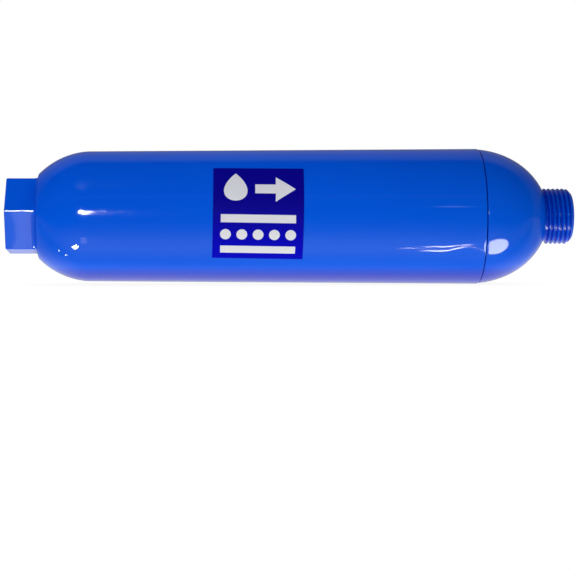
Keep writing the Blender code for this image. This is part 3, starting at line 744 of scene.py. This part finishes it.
def make_label(material):
    """A thin printed film around the front of the tube."""
    columns, rows = 48, 30
    middle_x = (LABEL_START_X + LABEL_END_X) / 2
    middle_angle = (LABEL_TOP + LABEL_BOTTOM) / 2
    height = (LABEL_BOTTOM - LABEL_TOP) * tube_radius(middle_x)
    tilt_along, tilt_around = math.cos(LABEL_TILT), math.sin(LABEL_TILT)
    points = []
    for side in LABEL_FACES:
        for row in range(rows + 1):
            for column in range(columns + 1):
                along = (column / columns - 0.5) * PRINT_WIDTH
                around = (row / rows - 0.5) * height
                x = middle_x + along * tilt_along - around * tilt_around
                arc = along * tilt_around + around * tilt_along
                radius = tube_radius(x) + side
                angle = middle_angle + arc / tube_radius(middle_x)
                points.append((x * MM, -radius * math.sin(angle) * MM,
                               (AXIS_HEIGHT + radius * math.cos(angle)) * MM))
    layer = (columns + 1) * (rows + 1)
    faces = []

    def vertex(side, row, column):
        return side * layer + row * (columns + 1) + column

    for row in range(rows):
        for column in range(columns):
            for side in (0, 1):
                corners = [vertex(side, row, column), vertex(side, row, column + 1),
                           vertex(side, row + 1, column + 1), vertex(side, row + 1, column)]
                faces.append(corners if side == 0 else corners[::-1])
    for column in range(columns):
        faces.append((vertex(0, 0, column), vertex(1, 0, column),
                      vertex(1, 0, column + 1), vertex(0, 0, column + 1)))
        faces.append((vertex(0, rows, column + 1), vertex(1, rows, column + 1),
                      vertex(1, rows, column), vertex(0, rows, column)))
    for row in range(rows):
        faces.append((vertex(0, row + 1, 0), vertex(1, row + 1, 0),
                      vertex(1, row, 0), vertex(0, row, 0)))
        faces.append((vertex(0, row, columns), vertex(1, row, columns),
                      vertex(1, row + 1, columns), vertex(0, row + 1, columns)))
    label = mesh_piece("front_label", points, faces)
    grid = label.data.uv_layers.new(name="film")
    for loop in label.data.loops:
        place = loop.vertex_index % layer
        row, column = divmod(place, columns + 1)
        grid.data[loop.index].uv = (column / columns, 1.0 - row / rows)
    finish(label, material, "label_film")


# ---------------------------------------------------------------- materials

class Nodes:
    """Short ways to add and join shader nodes."""

    def __init__(self, tree):
        self.tree = tree

    def add(self, kind, **settings):
        """One node, with its settings and then its inputs by name."""
        node = self.tree.nodes.new(kind)
        inputs = settings.pop("inputs", {})
        for name, value in settings.items():
            setattr(node, name, value)
        for name, value in inputs.items():
            self.set(node.inputs[name], value)
        return node

    def set(self, socket, value):
        """Join a socket to another one, or give it a plain value."""
        if isinstance(value, bpy.types.NodeSocket):
            self.tree.links.new(value, socket)
        else:
            socket.default_value = value

    def math(self, operation, *values, clamp=False):
        """A Math node's output."""
        node = self.add("ShaderNodeMath", operation=operation, use_clamp=clamp)
        for socket, value in zip(node.inputs, values):
            self.set(socket, value)
        return node.outputs[0]

    def ramp(self, value, low, high, to_low=0.0, to_high=1.0, smooth=True):
        """A value mapped from one range to another."""
        node = self.add("ShaderNodeMapRange", interpolation_type="SMOOTHSTEP" if smooth else "LINEAR")
        for name, number in (("Value", value), ("From Min", low), ("From Max", high),
                             ("To Min", to_low), ("To Max", to_high)):
            self.set(node.inputs[name], number)
        return node.outputs["Result"]

    def noise(self, place, scale, detail):
        """The value of a Noise Texture."""
        node = self.add("ShaderNodeTexNoise", inputs={"Vector": place, "Scale": scale, "Detail": detail})
        return node.outputs["Fac"]

    def place(self):
        """The place on the object, in metres."""
        return self.add("ShaderNodeTexCoord").outputs["Object"]

    def group(self, tree, inputs):
        """A shared effect's outputs."""
        return self.add("ShaderNodeGroup", node_tree=tree, inputs=inputs).outputs

    def offset(self, value, middle):
        """How far a value is from the middle."""
        return self.math("ABSOLUTE", self.math("SUBTRACT", value, middle))

    def rectangle(self, across, down, x, y, width, height):
        """Distance to a rectangle's edge, positive inside it."""
        return self.math("MINIMUM", self.math("SUBTRACT", width / 2, self.offset(across, x)),
                         self.math("SUBTRACT", height / 2, self.offset(down, y)))

    def mix(self, factor, first, second):
        """A colour between two colours."""
        node = self.add("ShaderNodeMix", data_type="RGBA")
        self.set(node.inputs["Factor"], factor)
        self.set(node.inputs[6], first)
        self.set(node.inputs[7], second)
        return node.outputs[2]


def new_material(name):
    """A material's node helper and its Principled shader."""
    material = bpy.data.materials.new(name)
    material.use_nodes = True
    shader = material.node_tree.nodes["Principled BSDF"]
    return material, Nodes(material.node_tree), shader


def effect_group(name, inputs, outputs, build):
    """A shader node group with named inputs and outputs, filled in by build."""
    tree = bpy.data.node_groups.new(name, "ShaderNodeTree")
    for label, kind, value in inputs:
        socket = tree.interface.new_socket(label, in_out="INPUT", socket_type=kind)
        if value is not None:
            socket.default_value = value
    for label, kind in outputs:
        tree.interface.new_socket(label, in_out="OUTPUT", socket_type=kind)
    nodes = Nodes(tree)
    build(nodes, nodes.add("NodeGroupInput").outputs, nodes.add("NodeGroupOutput").inputs)
    return tree


def moulding_marks(nodes, given, out):
    """Slow drift of the colour, the fine skin of a moulding, and a little dust and handling wear."""
    drift = nodes.noise(given["Place"], 11.0, 2.0)
    flow = nodes.add("ShaderNodeMapping", inputs={"Vector": given["Place"], "Scale": (0.12, 1.0, 1.0)})
    streaks = nodes.noise(flow.outputs["Vector"], 260.0, 3.0)
    skin = nodes.noise(given["Place"], given["Skin Scale"], 2.0)
    dust = nodes.ramp(nodes.noise(given["Place"], 1300.0, 1.0), 0.76, 0.84)
    nodes.set(out["Tone"], nodes.ramp(nodes.math("ADD", nodes.math("MULTIPLY", drift, 0.75),
                                                 nodes.math("MULTIPLY", streaks, 0.25)), 0.35, 0.65))
    nodes.set(out["Skin"], skin)
    nodes.set(out["Dust"], dust)


def fibre_tangle(nodes, given, out):
    """Matted fibres: thin crossing lines at three sizes."""
    total = None
    for number, scale in enumerate((0.6, 1.0, 1.7)):
        turned = nodes.add("ShaderNodeMapping", inputs={"Vector": given["Place"],
                                                        "Rotation": (0.7 * number, 1.1 * number, 0.4)})
        wave = nodes.add("ShaderNodeTexWave", wave_type="BANDS", inputs={
            "Vector": turned.outputs["Vector"], "Distortion": 14.0, "Detail": 2.0,
            "Scale": nodes.math("MULTIPLY", given["Scale"], scale)})
        line = nodes.ramp(wave.outputs["Fac"], 0.72, 1.0)
        total = line if total is None else nodes.math("MAXIMUM", total, line)
    nodes.set(out["Fibres"], total)
    nodes.set(out["Clumps"], nodes.noise(given["Place"], 90.0, 3.0))


def grain_cells(nodes, given, out):
    """Packed grains: a height for each, a tone of its own, and a mask of the gaps between them, where shade
    is painted.
    """
    cells = nodes.add("ShaderNodeTexVoronoi", inputs={"Vector": given["Place"], "Scale": given["Scale"]})
    edge = nodes.add("ShaderNodeTexVoronoi", feature="DISTANCE_TO_EDGE",
                     inputs={"Vector": given["Place"], "Scale": given["Scale"]})
    split = nodes.add("ShaderNodeSeparateColor", inputs={"Color": cells.outputs["Color"]})
    nodes.set(out["Tone"], split.outputs["Red"])
    nodes.set(out["Kind"], split.outputs["Green"])
    nodes.set(out["Height"], nodes.ramp(edge.outputs["Distance"], 0.0, 0.28))
    nodes.set(out["Painted Gap Shade"], nodes.ramp(edge.outputs["Distance"], 0.03, 0.0))


def make_groups():
    """The effects that several materials share."""
    place = ("Place", "NodeSocketVector", None)
    return {
        "moulding": effect_group("moulding marks", [place, ("Skin Scale", "NodeSocketFloat", 400.0)],
                                 [("Tone", "NodeSocketFloat"), ("Skin", "NodeSocketFloat"),
                                  ("Dust", "NodeSocketFloat")], moulding_marks),
        "fibres": effect_group("fibre tangle", [place, ("Scale", "NodeSocketFloat", 120.0)],
                               [("Fibres", "NodeSocketFloat"),
                                ("Clumps", "NodeSocketFloat")], fibre_tangle),
        "grains": effect_group("grain cells", [place, ("Scale", "NodeSocketFloat", 700.0)],
                               [("Tone", "NodeSocketFloat"), ("Kind", "NodeSocketFloat"),
                                ("Height", "NodeSocketFloat"), ("Painted Gap Shade", "NodeSocketFloat")], grain_cells),
    }


def bump(nodes, shader, height, strength, distance_mm):
    """A bump on a shader, from a height."""
    node = nodes.add("ShaderNodeBump", inputs={"Strength": strength, "Distance": distance_mm * MM,
                                               "Height": height})
    nodes.set(shader.inputs["Normal"], node.outputs["Normal"])


def blue_plastic(groups):
    """Glossy injection-moulded polypropylene, with shade painted into its grooves and recesses."""
    material, nodes, shader = new_material("blue moulding")
    marks = nodes.group(groups["moulding"], {"Place": nodes.place(), "Skin Scale": 520.0})
    colour = nodes.mix(marks["Tone"], BLUE_DEEP, BLUE_BRIGHT)
    colour = nodes.mix(nodes.math("MULTIPLY", marks["Dust"], 0.05), colour, (0.5, 0.55, 0.65, 1.0))
    # Painted shade: an occlusion node darkens the base colour towards a deep blue in grooves, recesses and
    # the socket.
    opening = nodes.add("ShaderNodeAmbientOcclusion", samples=8, inputs={"Distance": 9.0 * MM})
    painted_occlusion = nodes.ramp(opening.outputs["AO"], 0.35, 0.97, smooth=False)
    colour = nodes.mix(painted_occlusion, BLUE_PAINTED_SHADE, colour)
    nodes.set(shader.inputs["Base Color"], colour)
    rough = nodes.ramp(marks["Skin"], 0.3, 0.75, 0.06, 0.10)
    dusty = nodes.math("MULTIPLY", marks["Dust"], 0.25)
    nodes.set(shader.inputs["Roughness"], nodes.math("ADD", rough, dusty))
    shader.inputs["IOR"].default_value = 1.5
    bump(nodes, shader, marks["Skin"], 0.06, 0.05)
    return material


def white_plastic(groups):
    """Natural white moulded plastic, a little waxy."""
    material, nodes, shader = new_material("white moulding")
    marks = nodes.group(groups["moulding"], {"Place": nodes.place(), "Skin Scale": 700.0})
    colour = nodes.mix(marks["Tone"], (0.70, 0.70, 0.66, 1.0), (0.80, 0.80, 0.77, 1.0))
    colour = nodes.mix(nodes.math("MULTIPLY", marks["Dust"], 0.35), colour, (0.35, 0.33, 0.30, 1.0))
    nodes.set(shader.inputs["Base Color"], colour)
    nodes.set(shader.inputs["Roughness"], nodes.ramp(marks["Skin"], 0.3, 0.75, 0.30, 0.45))
    shader.inputs["Subsurface Weight"].default_value = 0.15
    shader.inputs["Subsurface Radius"].default_value = (0.0012, 0.0011, 0.0010)
    bump(nodes, shader, marks["Skin"], 0.12, 0.05)
    return material


def rubber(groups):
    """Black sealing rubber with a faint bloom."""
    material, nodes, shader = new_material("sealing rubber")
    marks = nodes.group(groups["moulding"], {"Place": nodes.place(), "Skin Scale": 900.0})
    colour = nodes.mix(marks["Tone"], (0.012, 0.012, 0.013, 1.0), (0.028, 0.028, 0.030, 1.0))
    colour = nodes.mix(nodes.math("MULTIPLY", marks["Dust"], 0.5), colour, (0.10, 0.10, 0.10, 1.0))
    nodes.set(shader.inputs["Base Color"], colour)
    nodes.set(shader.inputs["Roughness"], nodes.ramp(marks["Skin"], 0.3, 0.75, 0.50, 0.68))
    bump(nodes, shader, marks["Skin"], 0.25, 0.04)
    return material


def steel(groups):
    """Drawn stainless wire and strip, with fine lines along it."""
    material, nodes, shader = new_material("stainless steel")
    marks = nodes.group(groups["moulding"], {"Place": nodes.place(), "Skin Scale": 1400.0})
    colour = nodes.mix(marks["Tone"], (0.56, 0.56, 0.55, 1.0), (0.68, 0.67, 0.65, 1.0))
    nodes.set(shader.inputs["Base Color"], colour)
    shader.inputs["Metallic"].default_value = 1.0
    nodes.set(shader.inputs["Roughness"], nodes.ramp(marks["Skin"], 0.3, 0.75, 0.20, 0.36))
    bump(nodes, shader, marks["Skin"], 0.15, 0.02)
    return material


def felt(groups, name, pale, deep, scale):
    """Needled fibre."""
    material, nodes, shader = new_material(name)
    fibres = nodes.group(groups["fibres"], {"Place": nodes.place(), "Scale": scale})
    shade = nodes.math("ADD", nodes.math("MULTIPLY", fibres["Fibres"], 0.7),
                       nodes.math("MULTIPLY", fibres["Clumps"], 0.3))
    nodes.set(shader.inputs["Base Color"], nodes.mix(shade, deep, pale))
    shader.inputs["Roughness"].default_value = 0.95
    shader.inputs["Sheen Weight"].default_value = 0.4
    shader.inputs["Sheen Roughness"].default_value = 0.5
    bump(nodes, shader, shade, 0.7, 0.12)
    return material


def granules(groups, name, first, second, dark_tone_and_gap_shade, scale, metallic, roughness):
    """A packed bed of grains, with shade painted dark into the gaps between them."""
    material, nodes, shader = new_material(name)
    grains = nodes.group(groups["grains"], {"Place": nodes.place(), "Scale": scale})
    colour = nodes.mix(nodes.ramp(grains["Kind"], 0.45, 0.55), first, second)
    colour = nodes.mix(nodes.math("MULTIPLY", grains["Tone"], 0.55), colour, dark_tone_and_gap_shade)
    # Painted shade: the gaps between grains take the dark colour, which also darkens some grains at random.
    nodes.set(shader.inputs["Base Color"], nodes.mix(grains["Painted Gap Shade"], colour, dark_tone_and_gap_shade))
    rough = nodes.ramp(grains["Tone"], 0.0, 1.0, roughness, roughness + 0.25)
    nodes.set(shader.inputs["Roughness"], rough)
    filled = nodes.math("SUBTRACT", 1.0, grains["Painted Gap Shade"])
    nodes.set(shader.inputs["Metallic"], nodes.math("MULTIPLY", filled, metallic))
    bump(nodes, shader, grains["Height"], 0.9, 0.25)
    return material


def label_print(groups):
    """Navy film with a plain white graphic: a drop, a flow arrow, and a bed of dots between two bars. The
    navy has painted shading, darker at the top and lighter towards the bottom.
    """
    material, nodes, shader = new_material("printed film")
    place = nodes.add("ShaderNodeUVMap", uv_map="film").outputs["UV"]
    split = nodes.add("ShaderNodeSeparateXYZ", inputs={"Vector": place})
    across = nodes.math("MULTIPLY", split.outputs["X"], PRINT_WIDTH)
    down = nodes.math("MULTIPLY", nodes.math("SUBTRACT", 1.0, split.outputs["Y"]), PRINT_HEIGHT)

    rise = nodes.math("DIVIDE", nodes.math("SUBTRACT", DROP_BOTTOM, down), DROP_HEIGHT)
    inside = nodes.math("MAXIMUM", rise, 0.0)
    half = nodes.math("MULTIPLY", nodes.math("MULTIPLY", nodes.math("POWER", inside, 0.5),
                                             nodes.math("SUBTRACT", 1.0, inside)), DROP_FULLNESS)
    drop = nodes.math("SUBTRACT", nodes.math("SUBTRACT", half, DROP_TRIM), nodes.offset(across, DROP_X))

    shaft = nodes.rectangle(across, down, SHAFT_X, ARROW_Y, SHAFT_WIDTH, SHAFT_HEIGHT)
    slope = nodes.math("MULTIPLY", nodes.math("SUBTRACT", HEAD_TIP_X, across),
                       HEAD_HEIGHT / 2 / HEAD_WIDTH)
    head = nodes.math("MINIMUM", nodes.math("SUBTRACT", slope, nodes.offset(down, ARROW_Y)),
                      nodes.math("SUBTRACT", across, HEAD_TIP_X - HEAD_WIDTH))

    marks = [drop, shaft, head]
    for bar_y in BAR_ROWS:
        marks.append(nodes.rectangle(across, down, PRINT_WIDTH / 2, bar_y, BAR_WIDTH, BAR_HEIGHT))
    first_dot = PRINT_WIDTH / 2 - DOT_PITCH * (DOTS - 1) / 2
    along_dots = nodes.math("DIVIDE", nodes.math("SUBTRACT", across, first_dot), DOT_PITCH)
    nearest = nodes.math("ROUND", along_dots)
    nearest = nodes.math("MINIMUM", nodes.math("MAXIMUM", nearest, 0.0), DOTS - 1.0)
    dot_x = nodes.math("ADD", nodes.math("MULTIPLY", nearest, DOT_PITCH), first_dot)
    away = nodes.math("SQRT", nodes.math("ADD", nodes.math("POWER", nodes.offset(across, dot_x), 2.0),
                                         nodes.math("POWER", nodes.offset(down, DOT_ROW), 2.0)))
    marks.append(nodes.math("SUBTRACT", DOT_RADIUS, away))

    nearest_edge = marks[0]
    for mark in marks[1:]:
        nearest_edge = nodes.math("MAXIMUM", nearest_edge, mark)
    ink = nodes.ramp(nearest_edge, -0.05, 0.05)

    speckle = nodes.group(groups["moulding"], {"Place": nodes.place(), "Skin Scale": 900.0})
    # Painted shading: the navy lightens from the top of the label towards its bottom.
    painted_light_downwards = nodes.ramp(down, PRINT_HEIGHT * 0.35, PRINT_HEIGHT * 0.95)
    navy_with_painted_shading = nodes.mix(painted_light_downwards, NAVY_PAINTED_SHADE_TOP, NAVY_PAINTED_LIGHT_BOTTOM)
    white = nodes.mix(speckle["Tone"], (0.84, 0.85, 0.88, 1.0), (0.88, 0.89, 0.91, 1.0))
    white = nodes.mix(nodes.math("MULTIPLY", speckle["Dust"], 0.3), white, (0.55, 0.55, 0.60, 1.0))
    nodes.set(shader.inputs["Base Color"], nodes.mix(ink, navy_with_painted_shading, white))
    nodes.set(shader.inputs["Roughness"], nodes.ramp(speckle["Skin"], 0.3, 0.75, 0.42, 0.52))
    shader.inputs["Specular IOR Level"].default_value = 0.03
    bump(nodes, shader, ink, 0.2, 0.02)
    return material


# ---------------------------------------------------------------- stage, light and camera

def make_stage():
    """A pale floor with a soft contact shadow."""
    size = 20.0
    corners = [(-size, -size, 0.0), (size, -size, 0.0), (size, size, 0.0), (-size, size, 0.0)]
    floor = mesh_piece("floor", corners, [(0, 1, 2, 3)])
    material = bpy.data.materials.new("pale floor")
    material.use_nodes = True
    nodes = Nodes(material.node_tree)
    material.node_tree.nodes.clear()
    shadow = nodes.add("ShaderNodeAmbientOcclusion", samples=16, inputs={"Distance": 0.04})
    bright = nodes.ramp(shadow.outputs["AO"], 0.0, 0.8, 0.93, 1.02, smooth=False)
    glow = nodes.add("ShaderNodeEmission", inputs={"Color": WHITE, "Strength": bright})
    out = nodes.add("ShaderNodeOutputMaterial")
    material.node_tree.links.new(glow.outputs[0], out.inputs["Surface"])
    floor.data.materials.append(material)
    floor.visible_diffuse = False
    floor.visible_glossy = False


def make_room():
    """Soft light from all around: bright from below and in front, dim from above."""
    world = bpy.data.worlds.new("studio")
    bpy.context.scene.world = world
    world.use_nodes = True
    world.cycles.sampling_method = "NONE"
    world.node_tree.nodes.clear()
    nodes = Nodes(world.node_tree)
    path = nodes.add("ShaderNodeLightPath")
    direction = nodes.add("ShaderNodeTexCoord").outputs["Generated"]
    split = nodes.add("ShaderNodeSeparateXYZ", inputs={"Vector": direction})
    left_right, front_back, height = split.outputs

    sideways = nodes.math("ABSOLUTE", left_right)
    horizon = nodes.math("ADD", height, nodes.math("MULTIPLY", sideways, END_LIFT))
    diffuse = nodes.ramp(horizon, *LIGHT_BAND, LIGHT_BELOW, LIGHT_ABOVE)

    turn = nodes.math("ARCTAN2", nodes.math("MULTIPLY", height, -1.0),
                      nodes.math("MULTIPLY", front_back, -1.0))
    share = nodes.ramp(turn, -math.pi, math.pi, smooth=False)
    curve = nodes.add("ShaderNodeValToRGB", inputs={"Fac": share})
    stops = curve.color_ramp.elements
    while len(stops) < len(GLOSS):
        stops.new(0.5)
    for stop, (degrees, brightness) in zip(stops, GLOSS):
        stop.position = degrees / 360 + 0.5
        stop.color = (brightness, brightness, brightness, 1.0)
    gloss = nodes.math("MULTIPLY", curve.outputs["Color"],
                       nodes.ramp(sideways, 0.35, 0.85, 1.0, END_GLOSS))

    to_camera = path.outputs["Is Camera Ray"]
    to_gloss = path.outputs["Is Glossy Ray"]
    matte = nodes.math("SUBTRACT", 1.0, nodes.math("MAXIMUM", to_camera, to_gloss))
    total = nodes.math("ADD", nodes.math("ADD", to_camera, nodes.math("MULTIPLY", to_gloss, gloss)),
                       nodes.math("MULTIPLY", matte, diffuse))
    background = nodes.add("ShaderNodeBackground", inputs={"Color": WHITE, "Strength": total})
    out = nodes.add("ShaderNodeOutputWorld")
    world.node_tree.links.new(background.outputs[0], out.inputs["Surface"])


def make_lamp(name, at, around, above, width, height, radiance, roll=0.0, shape="RECTANGLE"):
    """A softbox that only gives reflections, seen from a place on the filter in one direction."""
    azimuth, elevation = math.radians(around), math.radians(above)
    direction = Vector((math.sin(azimuth) * math.cos(elevation),
                        -math.cos(azimuth) * math.cos(elevation), math.sin(elevation)))
    lamp = bpy.data.lights.new(name, "AREA")
    lamp.shape = shape
    lamp.size = width * MM
    lamp.size_y = height * MM
    area = lamp.size * lamp.size_y * (math.pi / 4 if shape == "ELLIPSE" else 1.0)
    lamp.energy = radiance * math.pi * area
    holder = bpy.data.objects.new(name, lamp)
    bpy.context.scene.collection.objects.link(holder)
    holder.location = (Vector(at) + direction * LAMP_DISTANCE) * MM
    rolled = direction.to_track_quat("Z", "Y") @ Quaternion((0, 0, 1), math.radians(roll))
    holder.rotation_euler = rolled.to_euler()
    holder.visible_diffuse = False
    holder.visible_camera = False


def make_fill():
    """A soft spot from above that lifts the inlet half."""
    lamp = bpy.data.lights.new("upper_fill", "SPOT")
    lamp.energy = FILL_POWER
    lamp.color = (0.9, 0.9, 1.0)
    lamp.spot_size = FILL_SPREAD
    lamp.spot_blend = 1.0
    lamp.shadow_soft_size = 0.25
    holder = bpy.data.objects.new("upper_fill", lamp)
    bpy.context.scene.collection.objects.link(holder)
    holder.location = FILL_PLACE
    away = Vector(FILL_PLACE) - Vector(FILL_AIM)
    holder.rotation_euler = away.to_track_quat("Z", "Y").to_euler()
    holder.visible_glossy = False


def make_lamps():
    """Softboxes whose reflections sit on both domes and along the tube."""
    level = AXIS_HEIGHT
    make_lamp("inlet_window", (-96, -31, level + 2), -12.5, 6.6, 166, 64, 45.0, roll=-8.0)
    make_lamp("inlet_window_sill", (-92, -31, level), -8.6, -1.6, 16, 12, 14.0)
    make_lamp("inlet_low", (-102, -27, level - 14), -39.5, -52.6, 105, 70, 42.0, roll=12.0)
    make_lamp("inlet_speck_a", (-110, -23, level - 16), -84.9, -48.8, 26, 18, 30.0)
    make_lamp("inlet_speck_b", (-107, -23, level - 18), -83.8, -58.0, 30, 16, 30.0)
    make_lamp("tube_streak_upper", (68, -29, level - 15), 13.9, -52.7, 42, 15, 44.0)
    make_lamp("tube_streak_lower", (68, -29, level - 15), 17.1, -60.5, 42, 15, 44.0)
    make_lamp("tube_streak_tip", (68, -29, level - 15), 9.3, -55.6, 8, 9, 26.0)
    make_lamp("tube_glint", (79, -31.6, level + 4), 7.4, 16.1, 18, 12, 3.0)
    make_lamp("cap_window", (95, -28.5, level - 14), 46.0, -48.5, 320, 290, 13.0, roll=25.0,
              shape="ELLIPSE")
    make_lamp("boss_low", (-128, -17, level), -10.0, -43.0, 110, 110, 1.3)


def make_camera():
    """The view square on to the label, a little from the inlet's side."""
    camera = bpy.data.cameras.new("camera")
    holder = bpy.data.objects.new("camera", camera)
    bpy.context.scene.collection.objects.link(holder)
    turn = math.radians(3.2)
    distance = 847.0
    target = Vector((-1.5, 0.0, AXIS_HEIGHT))
    holder.location = (target - distance * Vector((math.sin(turn), math.cos(turn), 0.0))) * MM
    holder.rotation_euler = (math.pi / 2, 0.0, -turn)
    camera.sensor_width = 36.0
    camera.lens = 109.44
    camera.shift_y = -0.1245
    camera.clip_start = 0.01
    camera.clip_end = 100.0
    bpy.context.scene.camera = holder


make_camera()
make_room()
make_stage()
make_lamps()
make_fill()
groups = make_groups()
finishes = {
    "blue_plastic": blue_plastic(groups),
    "white_plastic": white_plastic(groups),
    "rubber": rubber(groups),
    "steel": steel(groups),
    "felt": felt(groups, "white felt", (0.82, 0.81, 0.76, 1.0), (0.52, 0.51, 0.47, 1.0), 150.0),
    "fine_felt": felt(groups, "fine white felt", (0.86, 0.86, 0.84, 1.0), (0.62, 0.62, 0.60, 1.0), 260.0),
    "copper_zinc": granules(groups, "copper-zinc granules", (0.62, 0.40, 0.14, 1.0), (0.66, 0.30, 0.14, 1.0),
                            (0.10, 0.06, 0.03, 1.0), 900.0, 1.0, 0.30),
    "carbon": granules(groups, "carbon granules", (0.016, 0.016, 0.017, 1.0), (0.032, 0.031, 0.030, 1.0),
                       (0.003, 0.003, 0.003, 1.0), 520.0, 0.0, 0.40),
    "label": label_print(groups),
}
make_housing(finishes["blue_plastic"])
make_cap(finishes["blue_plastic"])
make_label(finishes["label"])
make_washer(finishes["rubber"])
make_screen(finishes["steel"])
make_screen_rim(finishes["steel"])
make_gasket(finishes["rubber"])
make_inlet_plate(finishes["white_plastic"])
make_net("net_inlet", "inlet_net", finishes["white_plastic"], "filter")
make_beds_and_felts(finishes)
make_net("net_outlet", "outlet_net", finishes["white_plastic"], "sprung_stack")
make_sprung_plate(finishes["white_plastic"])
make_wiper(finishes["rubber"])
make_spring(finishes["steel"])
make_seat(finishes["white_plastic"])

bpy.context.scene.view_settings.view_transform = "Standard"
